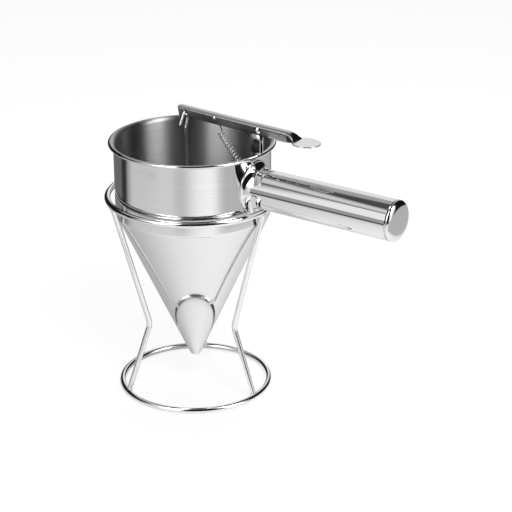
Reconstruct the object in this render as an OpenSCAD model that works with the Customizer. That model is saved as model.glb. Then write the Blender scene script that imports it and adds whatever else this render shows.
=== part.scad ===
// Hand-held batter dispenser with its wire stand.
// A drum with a rolled rim sits on a deep cone that ends in a turned outlet. A channel lever
// on a fulcrum post inside the handle side of the rim lifts a wire rod, and the plug on the
// rod opens the outlet. A tension spring pulls the lever back and so keeps the outlet shut.
// The origin is the centre of the stand's base ring, on the surface it stands on.
// +Z is up and the handle points along +X. All sizes are in millimetres.

/* [Stand] */
// Wire of the two rings
ring_wire_d = 4.4; // [4:0.1:6]
// Wire of the three legs
leg_wire_d = 4.1; // [3:0.1:5]
// Base ring diameter, on the centre of its wire
base_ring_d = 110; // [90:1:130]
// Height of the top ring, to the centre of its wire
top_ring_z = 149; // [135:1:170]
// Diameter at the waist, where the straight runs of the legs would meet
waist_d = 71.6; // [60:0.2:84]
// Height of the waist
waist_z = 53.4; // [40:0.2:70]
// Bend radius of a leg at the waist, on the centre of its wire
leg_bend_r = 12; // [6:1:20]
// How far a leg's foot lies inside the base ring's wire centre
foot_in = 1.2; // [0:0.1:2]
// Gap of the weld between a leg and a ring
weld_gap = 0.04; // [0.03:0.01:0.08]
// Number of legs
leg_count = 3; // [3]
// Gap between the drum wall and the inside of the top ring
ring_gap = 3.2; // [2:0.1:6]
// Gap between a leg and the hopper's shoulder that rests on it
seat_gap = 0.25; // [0.2:0.05:0.5]

/* [Hopper] */
// Sheet thickness of the hopper
sheet_t = 0.9; // [0.7:0.1:1.4]
// Outside diameter of the drum
drum_d = 112.6; // [108:0.2:118]
// Height from the theoretical shoulder corner to the top of the rim
drum_h = 53.7; // [48:0.1:70]
// How far the rolled rim stands out beyond the drum wall
rim_overhang = 3.7; // [3.2:0.1:5]
// Diameter of the rolled bead
bead_d = 2.4; // [2.2:0.1:3]
// Radius of the flare under the bead
flare_r = 2.2; // [1.8:0.1:3]
// Outside radius of the rounded shoulder
shoulder_r = 6; // [4:0.5:9]
// Height of the cone, from the shoulder corner to the outlet
cone_h = 114.6; // [100:0.2:122]
// Outside diameter at the end of the outlet
tip_d = 7.2; // [6.8:0.1:10]

/* [Outlet valve] */
// Height of the turned outlet tip
tip_h = 6; // [5.5:0.1:9]
// Diameter of the throat
throat_d = 5; // [4:0.1:5.4]
// Length of the straight throat
throat_l = 2.8; // [2:0.1:3.4]
// Rounding of the tip's outer edge
tip_edge_r = 0.5; // [0.2:0.1:0.8]
// Diameter of the valve plug
plug_d = 8.6; // [7.6:0.1:9]
// Length of the plug's straight land
plug_land = 2; // [1:0.1:4]
// Length of the plug's upper taper
plug_taper = 5; // [3:0.5:9]
// Gap between the plug and its seat
valve_gap = 0.2; // [0.15:0.05:0.3]
// Valve rod wire diameter
rod_d = 1.8; // [1.4:0.1:2.2]

/* [Handle] */
// Outside diameter of the handle tube
tube_d = 28.4; // [24:0.2:32]
// Wall of the handle tube
tube_t = 1; // [0.8:0.1:1.6]
// Distance from the hopper axis to the end of the tube
tube_reach = 168; // [140:0.5:200]
// Gap between the top ring and the tube above it
tube_gap = 0.9; // [0.5:0.1:3]
// How far the end cap stands out of the tube
cap_h = 4.6; // [4:0.1:9]
// Rounding of the end cap's edge
cap_edge_r = 3.4; // [2:0.1:3.9]
// Depth of the end cap's skirt inside the tube
cap_skirt = 9; // [5:1:20]
// Radial clearance of the skirt in the tube
skirt_gap = 0.05; // [0.02:0.01:0.1]
// Width of the flange border beside the tube
flange_side = 2.9; // [2:0.1:5]
// Height of the flange border above and below the tube
flange_rise = 5.3; // [4.6:0.1:6]
// Height of the flange's flare, out from the drum wall
flange_flare = 6; // [4.6:0.1:9]

/* [Lever] */
// Sheet thickness of the lever
lever_t = 0.9; // [0.8:0.1:1]
// Width of the lever channel
lever_w = 6.8; // [6.6:0.1:9]
// Height of the lever channel
lever_h = 6.8; // [6.7:0.1:8]
// Corner radius of the channel's crown
crown_r = 2.2; // [1.8:0.1:2.8]
// Downward slope of the lever towards the thumb plate, with the valve shut
lever_tilt = 1.7; // [0:0.1:3]
// Length of the channel beyond the hook hole
nose_l = 5.4; // [4:0.1:9]
// How far the crown reaches out beyond the flanks at the nose
nose_rake = 1.6; // [0:0.1:4]
// Hook hole diameter
hook_hole_d = 4.8; // [4.6:0.1:5]
// Metal left below the hook hole
hook_hole_edge = 0.5; // [0.4:0.1:0.8]
// Distance of the hook hole past the hopper's axis
hook_past = 3.4; // [0:0.1:4]
// Full-height length of the channel past the pivot
channel_past = 22; // [18:0.5:23]
// Length of the rounded end, from the full channel to the thumb plate
taper_l = 9.5; // [8:0.5:12]
// Width of the crease where the channel ends on the thumb plate
neck_w = 12.4; // [9:0.1:13]
// Depth of the flanks' dip below the channel's lower edge
dip = 0.6; // [0.2:0.1:1.2]
// Distance of the dip's lowest point past the pivot
dip_past = 20; // [16:0.5:21]
// Radius of the dip
dip_r = 27; // [20:1:40]
// Thumb plate diameter
thumb_d = 20; // [16:0.5:26]
// Distance from the pivot to the thumb plate's centre
thumb_reach = 38.4; // [36:0.2:44]
// Height of the thumb plate above the channel's lower edge
thumb_up = 1.1; // [0:0.1:1.5]

/* [Fulcrum] */
// Height of the pivot above the rim
pivot_up = 18.1; // [15:0.1:22]
// Distance of the pivot outside the drum wall
pivot_out = 2.6; // [2:0.1:4]
// Height of the pivot above the lever's lower edge
pivot_edge = 3; // [2.6:0.1:3.1]
// Pivot rivet diameter
pivot_d = 2.4; // [2:0.1:2.6]
// Radial running clearance of the pivot rivet in the lever
pivot_clear = 0.05; // [0.02:0.01:0.09]
// Diameter of a pivot rivet head
pivot_head_d = 5.2; // [4.4:0.1:5.6]
// Height of a pivot rivet head
pivot_head_h = 1.1; // [0.8:0.1:1.6]
// Gap between a rivet head and the lever
head_gap = 0.3; // [0.2:0.05:0.5]
// Sheet thickness of the fulcrum post
post_t = 0.9; // [0.7:0.1:1.1]
// Gap between the post and each inner face of the lever
post_gap = 0.4; // [0.3:0.05:0.7]
// Radius of the ear round the pivot
ear_r = 1.85; // [1.8:0.01:1.9]
// Distance from the pivot to the straight edge of the post's ears
ear_out = 1.4; // [0:0.1:1.8]
// Radius of the post's belly
belly_r = 22; // [20:0.5:30]
// How far the belly stands in from the drum's inner wall
belly_reach = 3.6; // [3.5:0.1:6]
// Height of the pivot above the belly's innermost point
belly_drop = 10; // [8:0.5:12]
// Width of the post's foot on the drum wall
foot_w = 10; // [8:0.5:14]
// Distance from the rim down to the foot's lower end
foot_drop = 28; // [24:0.5:34]
// Gap between the post and the top of the rim
rim_gap = 0.5; // [0.3:0.1:1.5]

/* [Return spring] */
// Outside diameter of the coil
coil_d = 5.2; // [4:0.1:6]
// Spring wire diameter
spring_wire_d = 0.7; // [0.5:0.05:0.8]
// Pitch of the coil
coil_pitch = 2.4; // [1.6:0.1:4]
// Radius of a hook, on the centre of its wire
spring_hook_r = 1.05; // [1.05:0.01:1.1]
// Height of the spring pin above the first turn of the coil
coil_drop = 10.3; // [8:0.1:14]
// How far the first turn lies out from the spring pin, towards the handle
coil_out = 3; // [0:0.1:4]
// Straight lead between the last turn and the eye
spring_lead = 4; // [3:0.5:8]
// Gap between a hook and the pin it pulls on
hook_gap = 0.08; // [0.05:0.01:0.1]
// Distance from the pivot to the spring pin
spring_pin_u = 36.9; // [30:0.1:42]
// Height of the spring pin above the lever's lower edge
spring_pin_edge = 4.2; // [3.6:0.1:4.2]
// Spring pin diameter
spring_pin_d = 1.2; // [1:0.1:1.2]
// Diameter of a spring pin head
spring_pin_head_d = 3; // [2.4:0.1:3.2]
// Height of a spring pin head
spring_pin_head_h = 0.7; // [0.4:0.1:1]
// Wire diameter of the eye that the spring's lower hook holds
eye_wire_d = 1.2; // [1:0.1:1.4]
// Radius of the eye, on the centre of its wire
eye_r = 2; // [1.8:0.1:2.4]
// Distance from the rim down to the eye
eye_drop = 22.5; // [20:0.1:25]

/* [Hidden] */

$fn = 72;
hull_fn = 32;

polished = "gainsboro";
satin = "silver";
bright_wire = "lightgray";

// Where two runs of one wire or sheet meet, one ends just inside the other.
over = 1;
slice = 0.1;
joint_step = 0.02;
joint_overlap = 0.2;

// Stand
ring_wire_r = ring_wire_d / 2;
leg_wire_r = leg_wire_d / 2;
drum_r = drum_d / 2;
top_ring_r = drum_r + ring_gap + ring_wire_r;
base_ring_r = base_ring_d / 2;
waist_r = waist_d / 2;
leg_top = [top_ring_r, top_ring_z];
leg_waist = [waist_r, waist_z];
leg_foot = [base_ring_r - foot_in, ring_wire_r];
upper_lean = atan((leg_top.x - waist_r) / (leg_top.y - waist_z));
lower_lean = atan((leg_foot.x - waist_r) / (waist_z - leg_foot.y));

// The shoulder's rounding touches the upper run of each leg, less seat_gap.
shoulder_centre_r = drum_r - shoulder_r;
shoulder_z = waist_z + (shoulder_centre_r - waist_r
             + (shoulder_r + leg_wire_r + seat_gap) / cos(upper_lean)) / tan(upper_lean);

// Hopper
tip_r = tip_d / 2;
cone_angle = atan((drum_r - tip_r) / cone_h);
corner_z = shoulder_z - shoulder_r * tan(cone_angle / 2);
rim_z = corner_z + drum_h;
tip_z = corner_z - cone_h;
drum_in_r = drum_r - sheet_t;
bead_r = bead_d / 2;
bead_centre_r = drum_r + rim_overhang - bead_r;
flare_centre_r = drum_r + flare_r;
bead_offset = flare_r + sheet_t - bead_r;
bead_angle = acos((bead_centre_r - flare_centre_r) / bead_offset);
flare_z = rim_z - bead_r - bead_offset * sin(bead_angle);
tip_join_z = tip_z + tip_h;
sheet_level = sheet_t / cos(cone_angle);

// Outlet valve
throat_r = throat_d / 2;
throat_top_z = tip_z + throat_l;
seat_top_r = cone_outer(tip_join_z) - sheet_level;
seat_slope = (seat_top_r - throat_r) / (tip_join_z - throat_top_z);
plug_r = plug_d / 2;
rod_r = rod_d / 2;
plug_inset = valve_gap * sqrt(1 + seat_slope * seat_slope);
plug_nose_in = 0.2;
plug_nose_r = throat_r - plug_nose_in;
plug_nose_z = throat_top_z + (plug_nose_r + plug_inset - throat_r) / seat_slope;
plug_land_z = throat_top_z + (plug_r + plug_inset - throat_r) / seat_slope;
plug_shoulder_z = plug_land_z + plug_land;
plug_top_z = plug_shoulder_z + plug_taper;
plug_collar_t = 0.8;
plug_collar_r = rod_r + plug_collar_t;
rod_low_z = plug_land_z;

// Handle
tube_r = tube_d / 2;
tube_z = top_ring_z + ring_wire_r + tube_gap + tube_r;
tube_start = drum_r + sheet_t + flange_flare;
flange_seat = 0.02;
flange_steps = 60;
flare_steps = 7;

// Lever, drawn round its pivot with u along the channel and v up
pivot_x = drum_r + pivot_out;
pivot_z = rim_z + pivot_up;
pivot_r = pivot_d / 2;
lever_low = -pivot_edge;
hook_hole_r = hook_hole_d / 2;
hook_hole_u = -(pivot_x + hook_past) / cos(lever_tilt);
hook_hole_v = lever_low + hook_hole_edge + hook_hole_r;
hook_hole = lever_point(hook_hole_u, hook_hole_v);
nose_u = hook_hole_u - nose_l;
end_u = channel_past + taper_l;
end_along = 0.6;
end_fall = 0.24;
end_spread = 0.35;
end_round = 0.8;
spring_pin_r = spring_pin_d / 2;
spring_pin_v = lever_low + spring_pin_edge;

// Fulcrum post
post_w = lever_w - 2 * (lever_t + post_gap);
post_r = post_w / 2;
belly_x = drum_in_r - belly_reach + belly_r;
belly_z = pivot_z - belly_drop;
foot_z = rim_z - foot_drop;
eye_z = rim_z - eye_drop;
eye_wire_r = eye_wire_d / 2;
eye_seat = 0.07;
eye_x = drum_in_r - post_t - eye_seat - eye_r;

// Valve rod: the wire's centre at each bend, from the plug up to the hook's tail
hook_bend_r = 2.8;
hook_swing = 150;
hook_tail = 8.5;
hook_in = 1.2;
hook_shift = [-0.7, 0.6];
hook_at = hook_hole + hook_shift;
wall_y = -(lever_w - lever_t) / 2;
arch_y = wall_y + hook_in;
arch_z = hook_at.y - sqrt(hook_bend_r * hook_bend_r - hook_in * hook_in);
knee_drop = 9.6;
knee_y = -2;
rod_neck = 2;
rod_points = [[0, 0, rod_low_z],
              [0, 0, plug_top_z + rod_neck],
              [hook_at.x, knee_y, arch_z - knee_drop],
              [hook_at.x, arch_y + hook_bend_r, arch_z + joint_overlap]];

// Return spring
spring_wire_r = spring_wire_d / 2;
spring_sides = 6;
turn_steps = 12;
hook_steps = 10;
hook_turn = 270;
hook_from = 140;
side_hint = [0.1, 1, 0.2];
spring_pin_at = lever_point(-spring_pin_u, spring_pin_v);
eye_at = [eye_x, eye_z];
coil_from = spring_pin_at + [coil_out, -coil_drop];
spring_axis = unit(eye_at - coil_from);
shank_axis = unit(coil_from - spring_pin_at);
coil_r = coil_d / 2 - spring_wire_r;
pin_hook = spring_pin_at + (spring_hook_r - spring_wire_r - spring_pin_r - hook_gap) * shank_axis;
eye_hook = eye_at - (spring_hook_r - spring_wire_r - eye_wire_r - hook_gap) * spring_axis;
coil_l = norm(eye_hook - coil_from) - spring_hook_r - spring_lead;
coil_turns = coil_l / coil_pitch;

// Outside radius of the cone at height z.
function cone_outer(z) = tip_r + (z - tip_z) * tan(cone_angle);

// Point of the tilted lever in the handle's vertical plane, as [x, z].
function lever_point(u, v) =
    [pivot_x + u * cos(lever_tilt) + v * sin(lever_tilt),
     pivot_z - u * sin(lever_tilt) + v * cos(lever_tilt)];

function unit(v) = v / norm(v);

// Round bar from point a to point b.
module bar(a, b, r) {
    d = b - a;
    translate(a)
        rotate([0, acos(d.z / norm(d)), atan2(d.y, d.x)])
            cylinder(h = norm(d), r = r);
}

// Round wire through a list of points, with a ball at each bend.
module wire(points, r) {
    for (i = [1 : len(points) - 1]) bar(points[i - 1], points[i], r);
    for (i = [1 : len(points) - 2]) translate(points[i]) sphere(r + joint_step);
}

// Wire ring that lies level at height z.
module ring(ring_r, wire_r, z) {
    translate([0, 0, z])
        rotate_extrude()
            translate([ring_r, 0]) circle(wire_r);
}

module base_ring() {
    color(bright_wire) ring(base_ring_r, ring_wire_r, ring_wire_r);
}

module top_ring() {
    color(bright_wire) ring(top_ring_r, ring_wire_r, top_ring_z);
}

// One leg in the XZ plane: two straight runs and the bend between them.
module leg_wire() {
    up = [sin(upper_lean), cos(upper_lean)];
    down = [sin(lower_lean), -cos(lower_lean)];
    turn = upper_lean + lower_lean;
    run = leg_bend_r * tan(turn / 2);
    bend = leg_waist + unit(up + down) * leg_bend_r / cos(turn / 2);
    upper_end = leg_waist + (run - joint_overlap) * up;
    lower_end = leg_waist + (run - joint_overlap) * down;
    straight_r = leg_wire_r - joint_step;
    bar([upper_end.x, 0, upper_end.y], [leg_top.x, 0, leg_top.y], straight_r);
    bar([lower_end.x, 0, lower_end.y], [leg_foot.x, 0, leg_foot.y], straight_r);
    translate([bend.x, 0, bend.y])
        rotate([90, 0, 0])
            rotate([0, 0, 180 - upper_lean])
                rotate_extrude(angle = turn)
                    translate([leg_bend_r, 0]) circle(leg_wire_r);
}

// Leg number i, coped to the two rings that it is welded to.
module leg(i) {
    cope_r = ring_wire_r + weld_gap;
    color(bright_wire)
        rotate([0, 0, i * 360 / leg_count])
            difference() {
                leg_wire();
                cross_bar(top_ring_r, top_ring_z, cope_r, ring_wire_d);
                cross_bar(base_ring_r, ring_wire_r, cope_r, ring_wire_d);
            }
}

module leg_handle_side() {
    leg(0);
}

module leg_rear() {
    leg(1);
}

module leg_front() {
    leg(2);
}

// Ring between two radii about a centre, kept between two angles under 180 degrees apart.
module arc_band(centre, inner, outer, from, to) {
    reach = 4 * outer;
    middle = (from + to) / 2;
    translate(centre)
        intersection() {
            difference() {
                circle(outer);
                circle(inner);
            }
            polygon([[0, 0],
                     reach * [cos(from), sin(from)],
                     reach * [cos(middle), sin(middle)],
                     reach * [cos(to), sin(to)]]);
        }
}

// Straight wall, a flare outwards, and the rolled bead that closes it.
module hopper_drum() {
    color(polished)
        rotate_extrude() {
            translate([drum_in_r, shoulder_z]) square([sheet_t, flare_z - shoulder_z]);
            arc_band([flare_centre_r, flare_z], flare_r, flare_r + sheet_t, bead_angle, 180);
            translate([bead_centre_r, rim_z - bead_r]) circle(bead_r);
        }
}

// Rounded shoulder and the spun cone, down to the turned tip.
module hopper_cone() {
    across = [cos(cone_angle), -sin(cone_angle)];
    start = [shoulder_centre_r, shoulder_z] + joint_overlap * [sin(cone_angle), cos(cone_angle)];
    color(polished)
        rotate_extrude() {
            arc_band([shoulder_centre_r, shoulder_z], shoulder_r - sheet_t, shoulder_r, -cone_angle, 0);
            polygon([start + (shoulder_r - joint_step) * across,
                     start + (shoulder_r - sheet_t + joint_step) * across,
                     [seat_top_r, tip_join_z],
                     [cone_outer(tip_join_z), tip_join_z]]);
        }
}

// Turned end of the cone, with the valve's conical seat and a straight throat.
module outlet_tip() {
    edge_z = tip_z + tip_edge_r;
    color(satin)
        rotate_extrude() {
            polygon([[seat_top_r, tip_join_z],
                     [cone_outer(tip_join_z), tip_join_z],
                     [cone_outer(edge_z), edge_z],
                     [cone_outer(edge_z) - tip_edge_r, tip_z],
                     [throat_r, tip_z],
                     [throat_r, throat_top_z]]);
        }
}

// Point of the flange at angle a round the tube, where f runs from 0 at the rim to 90 at the
// neck. base_r is the radius of the drum surface that it follows, neck_r its radius at the neck.
function flange_point(a, f, base_r, neck_r) =
    let (side = tube_r + flange_side,
         rise = tube_r + flange_rise,
         border = side * rise / norm([rise * cos(a), side * sin(a)]),
         reach = neck_r + (border - neck_r) * (1 - sin(f)),
         y = reach * cos(a),
         wall_x = sqrt(base_r * base_r - y * y))
    [wall_x + (tube_start - wall_x) * (1 - cos(f)), y, tube_z + reach * sin(a)];

// Drawn flange: its border hugs the drum wall and its neck flares up into the tube.
module handle_flange() {
    outside = [for (k = [0 : flare_steps], i = [0 : flange_steps - 1])
        flange_point(i * 360 / flange_steps, 90 * k / flare_steps, drum_r + sheet_t, tube_r)];
    inside = [for (k = [0 : flare_steps], i = [0 : flange_steps - 1])
        flange_point(i * 360 / flange_steps, 90 * k / flare_steps, drum_r + flange_seat, tube_r - tube_t)];
    shift = len(outside);
    rows = [for (k = [0 : flare_steps]) k * flange_steps];
    skin = [for (k = [0 : flare_steps - 1], i = [0 : flange_steps - 1])
        let (j = (i + 1) % flange_steps)
        [rows[k] + i, rows[k] + j, rows[k + 1] + j, rows[k + 1] + i]];
    lining = [for (q = skin) [shift + q[3], shift + q[2], shift + q[1], shift + q[0]]];
    border = [for (i = [0 : flange_steps - 1])
        let (j = (i + 1) % flange_steps) [shift + i, shift + j, j, i]];
    last = rows[flare_steps];
    mouth = [for (i = [0 : flange_steps - 1])
        let (j = (i + 1) % flange_steps) [last + i, last + j, shift + last + j, shift + last + i]];
    color(polished)
        polyhedron(points = concat(outside, inside),
                   faces = concat(skin, lining, border, mouth));
}

// Turns a profile of [radius, length] about the handle's axis.
module on_handle_axis(x) {
    translate([x, 0, tube_z])
        rotate([0, 90, 0])
            rotate_extrude() children();
}

module handle_tube() {
    color(polished)
        on_handle_axis(tube_start)
            translate([tube_r - tube_t, 0]) square([tube_t, tube_reach - tube_start]);
}

// End cap with a rounded edge and a skirt that slides into the tube.
module handle_cap() {
    skirt_r = tube_r - tube_t - skirt_gap;
    color(polished)
        on_handle_axis(tube_reach) {
            square([tube_r, cap_h - cap_edge_r]);
            square([tube_r - cap_edge_r, cap_h]);
            translate([tube_r - cap_edge_r, cap_h - cap_edge_r])
                intersection() {
                    circle(cap_edge_r);
                    square(cap_edge_r);
                }
            translate([skirt_r - tube_t, -cap_skirt]) square([tube_t, cap_skirt]);
        }
}

// Disc on an axle along Y at [x, z], with a rim rounded to its full width.
module rounded_disc(x, z, r, half_w, rounding) {
    translate([x, 0, z])
        rotate([90, 0, 0])
            rotate_extrude() {
                translate([0, -half_w]) square([r, 2 * half_w]);
                translate([r, 0]) circle(rounding);
            }
}

// Cylinder along Y through [x, z], from y = -half to y = half.
module cross_bar(x, z, r, half) {
    translate([x, half, z])
        rotate([90, 0, 0]) cylinder(h = 2 * half, r = r);
}

// Bellied channel that stands inside the rim, open towards the handle, with an ear on each
// side for the pivot and a foot that is welded to the drum wall.
module fulcrum_post() {
    path_r = belly_r - post_r;
    in_r = post_r - post_t;
    clear_z = rim_z + rim_gap;
    color(satin)
        difference() {
            union() {
                intersection() {
                    difference() {
                        rounded_disc(belly_x, belly_z, path_r, post_r, post_r);
                        rounded_disc(belly_x, belly_z, path_r, in_r, in_r);
                    }
                    union() {
                        translate([0, -post_w, foot_z])
                            cube([pivot_x + ear_out, 2 * post_w, pivot_z - foot_z]);
                        cross_bar(pivot_x, pivot_z, ear_r, post_w);
                    }
                }
                foot_plate();
            }
            difference() {
                translate([0, 0, foot_z - over]) cylinder(h = clear_z - foot_z + over, r = 2 * drum_r);
                translate([0, 0, foot_z - 2 * over])
                    cylinder(h = clear_z - foot_z + 4 * over, r = drum_in_r);
            }
            cross_bar(pivot_x, pivot_z, pivot_r, post_w);
        }
}

// Strip against the drum wall, with a round lower end.
module foot_plate() {
    plate_in_r = drum_in_r - post_t;
    top_z = belly_z - belly_drop;
    intersection() {
        difference() {
            translate([0, 0, foot_z]) cylinder(h = top_z - foot_z, r = drum_in_r);
            translate([0, 0, foot_z - over]) cylinder(h = top_z - foot_z + 2 * over, r = plate_in_r);
        }
        translate([0, 0, foot_z])
            rotate([90, 0, 90])
                linear_extrude(drum_r) {
                    translate([0, foot_w / 2]) circle(foot_w / 2);
                    translate([-foot_w / 2, foot_w / 2]) square([foot_w, top_z - foot_z]);
                }
    }
}

// Domed rivet head whose flat side lies at y = face, on the side of the sign of face.
module rivet_head(x, z, face, head_d, head_h) {
    head_r = head_d / 2;
    ball_r = (head_r * head_r + head_h * head_h) / (2 * head_h);
    translate([x, face, z])
        rotate([face > 0 ? -90 : 90, 0, 0])
            rotate_extrude()
                intersection() {
                    translate([0, head_h - ball_r]) circle(ball_r);
                    square([head_r, head_h]);
                }
}

// Rivet that fills the ears of the post and runs in the lever.
module pivot_rivet() {
    half = lever_w / 2 + head_gap;
    color(satin) {
        cross_bar(pivot_x, pivot_z, pivot_r, half);
        for (side = [-1, 1]) rivet_head(pivot_x, pivot_z, side * half, pivot_head_d, pivot_head_h);
    }
}

// Staple on the post's foot: half a ring of wire, level, bowed towards the hopper's axis.
module spring_eye() {
    color(bright_wire)
        translate([eye_x + eye_r, 0, eye_z])
            rotate([0, 0, 90])
                rotate_extrude(angle = 180)
                    translate([eye_r, 0]) circle(eye_wire_r);
}

// Lever cross-section, open below: a box with rounded crown corners, its lower edge at low.
module lever_section(w, h, corner, low) {
    translate([-w / 2, low]) square([w, h - corner]);
    translate([corner - w / 2, low]) square([w - 2 * corner, h]);
    for (side = [-1, 1])
        translate([side * (w / 2 - corner), low + h - corner]) circle(corner);
}

// Sweeps a cross-section along the lever from u = start.
module along_lever(start, length) {
    translate([start, 0, 0])
        rotate([90, 0, 90])
            linear_extrude(length) children();
}

// Slice of the lever's rounded end, that spans from v = low to v = top.
module end_slice(u, w, low, top, corner) {
    along_lever(u - slice, slice) lever_section(w, top - low, corner, low, $fn = hull_fn);
}

// Rounded end of the channel: the crown falls in two steps to the thumb plate's level while the
// flanks spread to the width of the crease.
module channel_end(w, end_w, low, top, plate_low, plate_top, corner, last_u) {
    mid_u = channel_past + end_along * (last_u - channel_past);
    mid_top = top - end_fall * (top - plate_top);
    mid_w = w + end_spread * (end_w - w);
    mid_corner = corner + end_round;
    hull() {
        end_slice(channel_past, w, low, top, corner);
        end_slice(mid_u, mid_w, low, mid_top, mid_corner);
    }
    hull() {
        end_slice(mid_u, mid_w, low, mid_top, mid_corner);
        end_slice(last_u, end_w, plate_low, plate_top, slice);
    }
}

// Channel, its rounded end and the round thumb plate, with the flanks still too deep.
module lever_blank() {
    low = lever_low - dip;
    top = lever_low + lever_h;
    plate_low = lever_low + thumb_up;
    start_u = nose_u - nose_rake;
    inner_w = lever_w - 2 * lever_t;
    inner_low = low - over;
    inner_top = top - lever_t;
    inner_corner = crown_r - lever_t;
    difference() {
        union() {
            along_lever(start_u, channel_past - start_u)
                lever_section(lever_w, top - low, crown_r, low);
            channel_end(lever_w, neck_w, low, top, plate_low, plate_low + lever_t, crown_r, end_u);
        }
        along_lever(start_u - over, channel_past - start_u + over)
            lever_section(inner_w, inner_top - inner_low, inner_corner, inner_low);
        channel_end(inner_w, neck_w - 2 * lever_t, inner_low, inner_top, inner_low,
                    plate_low, inner_corner, end_u - 2 * lever_t);
    }
}

// Side outline of the channel: a straight lower edge up to the flanks' dip.
module lever_outline() {
    start_u = nose_u - nose_rake - over;
    translate([start_u, -lever_w, lever_low])
        cube([dip_past - start_u, 2 * lever_w, 2 * lever_h]);
    cross_bar(dip_past, lever_low - dip + dip_r, dip_r, lever_w);
}

// Pressed lever, drawn round its pivot.
module lever_body() {
    difference() {
        intersection() {
            lever_blank();
            lever_outline();
        }
        translate([nose_u, 0, lever_low])
            rotate([0, -atan(nose_rake / lever_h), 0])
                translate([-2 * lever_w, -lever_w, -lever_h])
                    cube([2 * lever_w, 2 * lever_w, 3 * lever_h]);
    }
    translate([thumb_reach, 0, lever_low + thumb_up]) cylinder(h = lever_t, r = thumb_d / 2);
}

module lever() {
    color(satin)
        translate([pivot_x, 0, pivot_z])
            rotate([0, lever_tilt, 0])
                difference() {
                    lever_body();
                    cross_bar(0, 0, pivot_r + pivot_clear, lever_w);
                    cross_bar(-spring_pin_u, spring_pin_v, spring_pin_r, lever_w);
                    translate([hook_hole_u, 0, hook_hole_v])
                        rotate([90, 0, 0]) cylinder(h = lever_w, r = hook_hole_r);
                }
}

// Pin across the channel that the spring's upper hook holds.
module spring_pin() {
    x = spring_pin_at.x;
    z = spring_pin_at.y;
    half = lever_w / 2;
    color(satin) {
        cross_bar(x, z, spring_pin_r, half);
        for (side = [-1, 1])
            rivet_head(x, z, side * half, spring_pin_head_d, spring_pin_head_h);
    }
}

// Wire rod: up from the plug, a lean and a neck under the lever, over through the hook hole,
// and a tail that hangs outside the channel.
module valve_rod() {
    out = [-sin(hook_swing), cos(hook_swing)];
    start = [arch_y + hook_bend_r * cos(hook_swing), arch_z + hook_bend_r * sin(hook_swing)]
            - joint_overlap * out;
    finish = start + hook_tail * out;
    color(bright_wire) {
        wire(rod_points, rod_r);
        translate([hook_at.x, arch_y, arch_z])
            rotate([90, 0, 90])
                rotate_extrude(angle = hook_swing)
                    translate([hook_bend_r, 0]) circle(rod_r + joint_step);
        bar([hook_at.x, start.x, start.y], [hook_at.x, finish.x, finish.y], rod_r);
        translate([hook_at.x, finish.x, finish.y]) sphere(rod_r + joint_step);
    }
}

// Turned plug that closes the seat, bored for the end of the rod.
module valve_plug() {
    color(satin)
        difference() {
            rotate_extrude()
                polygon([[0, plug_nose_z],
                         [plug_nose_r, plug_nose_z],
                         [plug_r, plug_land_z],
                         [plug_r, plug_shoulder_z],
                         [plug_collar_r, plug_top_z],
                         [0, plug_top_z]]);
            translate([0, 0, rod_low_z]) cylinder(h = plug_top_z - rod_low_z + over, r = rod_r);
        }
}

// Coil point at distance s along the coil's axis, out by r at angle a round the axis.
function coil_point(s, r, a) =
    let (p = coil_from + s * spring_axis + r * cos(a) * [-spring_axis.y, spring_axis.x])
    [p.x, r * sin(a), p.y];

// Point at angle a of a hook centred at c, whose opening faces along way.
function hook_point(c, way, a) =
    let (p = c + spring_hook_r * (sin(a) * [-way.y, way.x] - cos(a) * way))
    [p.x, 0, p.y];

function spring_path() =
    let (steps = ceil(coil_turns * turn_steps),
         ramp = turn_steps / 2,
         swing = hook_turn / hook_steps,
         pin_side = [for (i = [0 : hook_steps]) hook_point(pin_hook, shank_axis, hook_from - swing * i)],
         eye_side = [for (i = [hook_steps : -1 : 0]) hook_point(eye_hook, -spring_axis, swing * i - hook_from)],
         coil = [for (i = [0 : steps])
             coil_point(coil_l * i / steps,
                        coil_r * min(1, (steps - i + 1) / ramp),
                        360 * coil_turns * i / steps)])
    concat(pin_side, coil, [coil_point(coil_l + spring_lead - spring_wire_d, 0, 0)], eye_side);

// Directions across a path, carried along it so that the tube doesn't twist.
function path_normals(tangents) =
    [for (i = 0, n = unit(cross(tangents[0], side_hint));
          i < len(tangents);
          i = i + 1,
          n = i < len(tangents) ? unit(n - (n * tangents[i]) * tangents[i]) : n) n];

// Round tube along a path, with flat ends.
module tube_along(points, r, sides) {
    last = len(points) - 1;
    tangents = [for (i = [0 : last]) unit(points[min(i + 1, last)] - points[max(i - 1, 0)])];
    normals = path_normals(tangents);
    rings = [for (i = [0 : last], k = [0 : sides - 1])
        let (a = 360 * k / sides, side = cross(tangents[i], normals[i]))
        points[i] + r * (cos(a) * normals[i] + sin(a) * side)];
    walls = [for (i = [0 : last - 1], k = [0 : sides - 1])
        let (j = (k + 1) % sides, low = i * sides, high = low + sides)
        [low + k, high + k, high + j, low + j]];
    caps = [[for (k = [0 : sides - 1]) k],
            [for (k = [sides - 1 : -1 : 0]) last * sides + k]];
    polyhedron(points = rings, faces = concat(walls, caps));
}

module return_spring() {
    color(bright_wire) tube_along(spring_path(), spring_wire_r, spring_sides);
}

base_ring();
top_ring();
leg_handle_side();
leg_rear();
leg_front();
hopper_drum();
hopper_cone();
outlet_tip();
handle_flange();
handle_tube();
handle_cap();
fulcrum_post();
pivot_rivet();
spring_eye();
return_spring();
lever();
spring_pin();
valve_rod();
valve_plug();
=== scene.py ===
"""Looks of a batter dispenser: a spun hopper with a lever valve, a tube handle and a wire stand.

The hopper, the end cap, the post, the flange, the lever and the return spring are made again here with
rounder sheet metal and finer wire. The other CAD nodes keep their shapes and get a steel finish.
"""
import logging
from dataclasses import dataclass, field
from enum import Enum
from math import acos, cos, degrees, hypot, pi, radians, sin, sqrt

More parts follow.
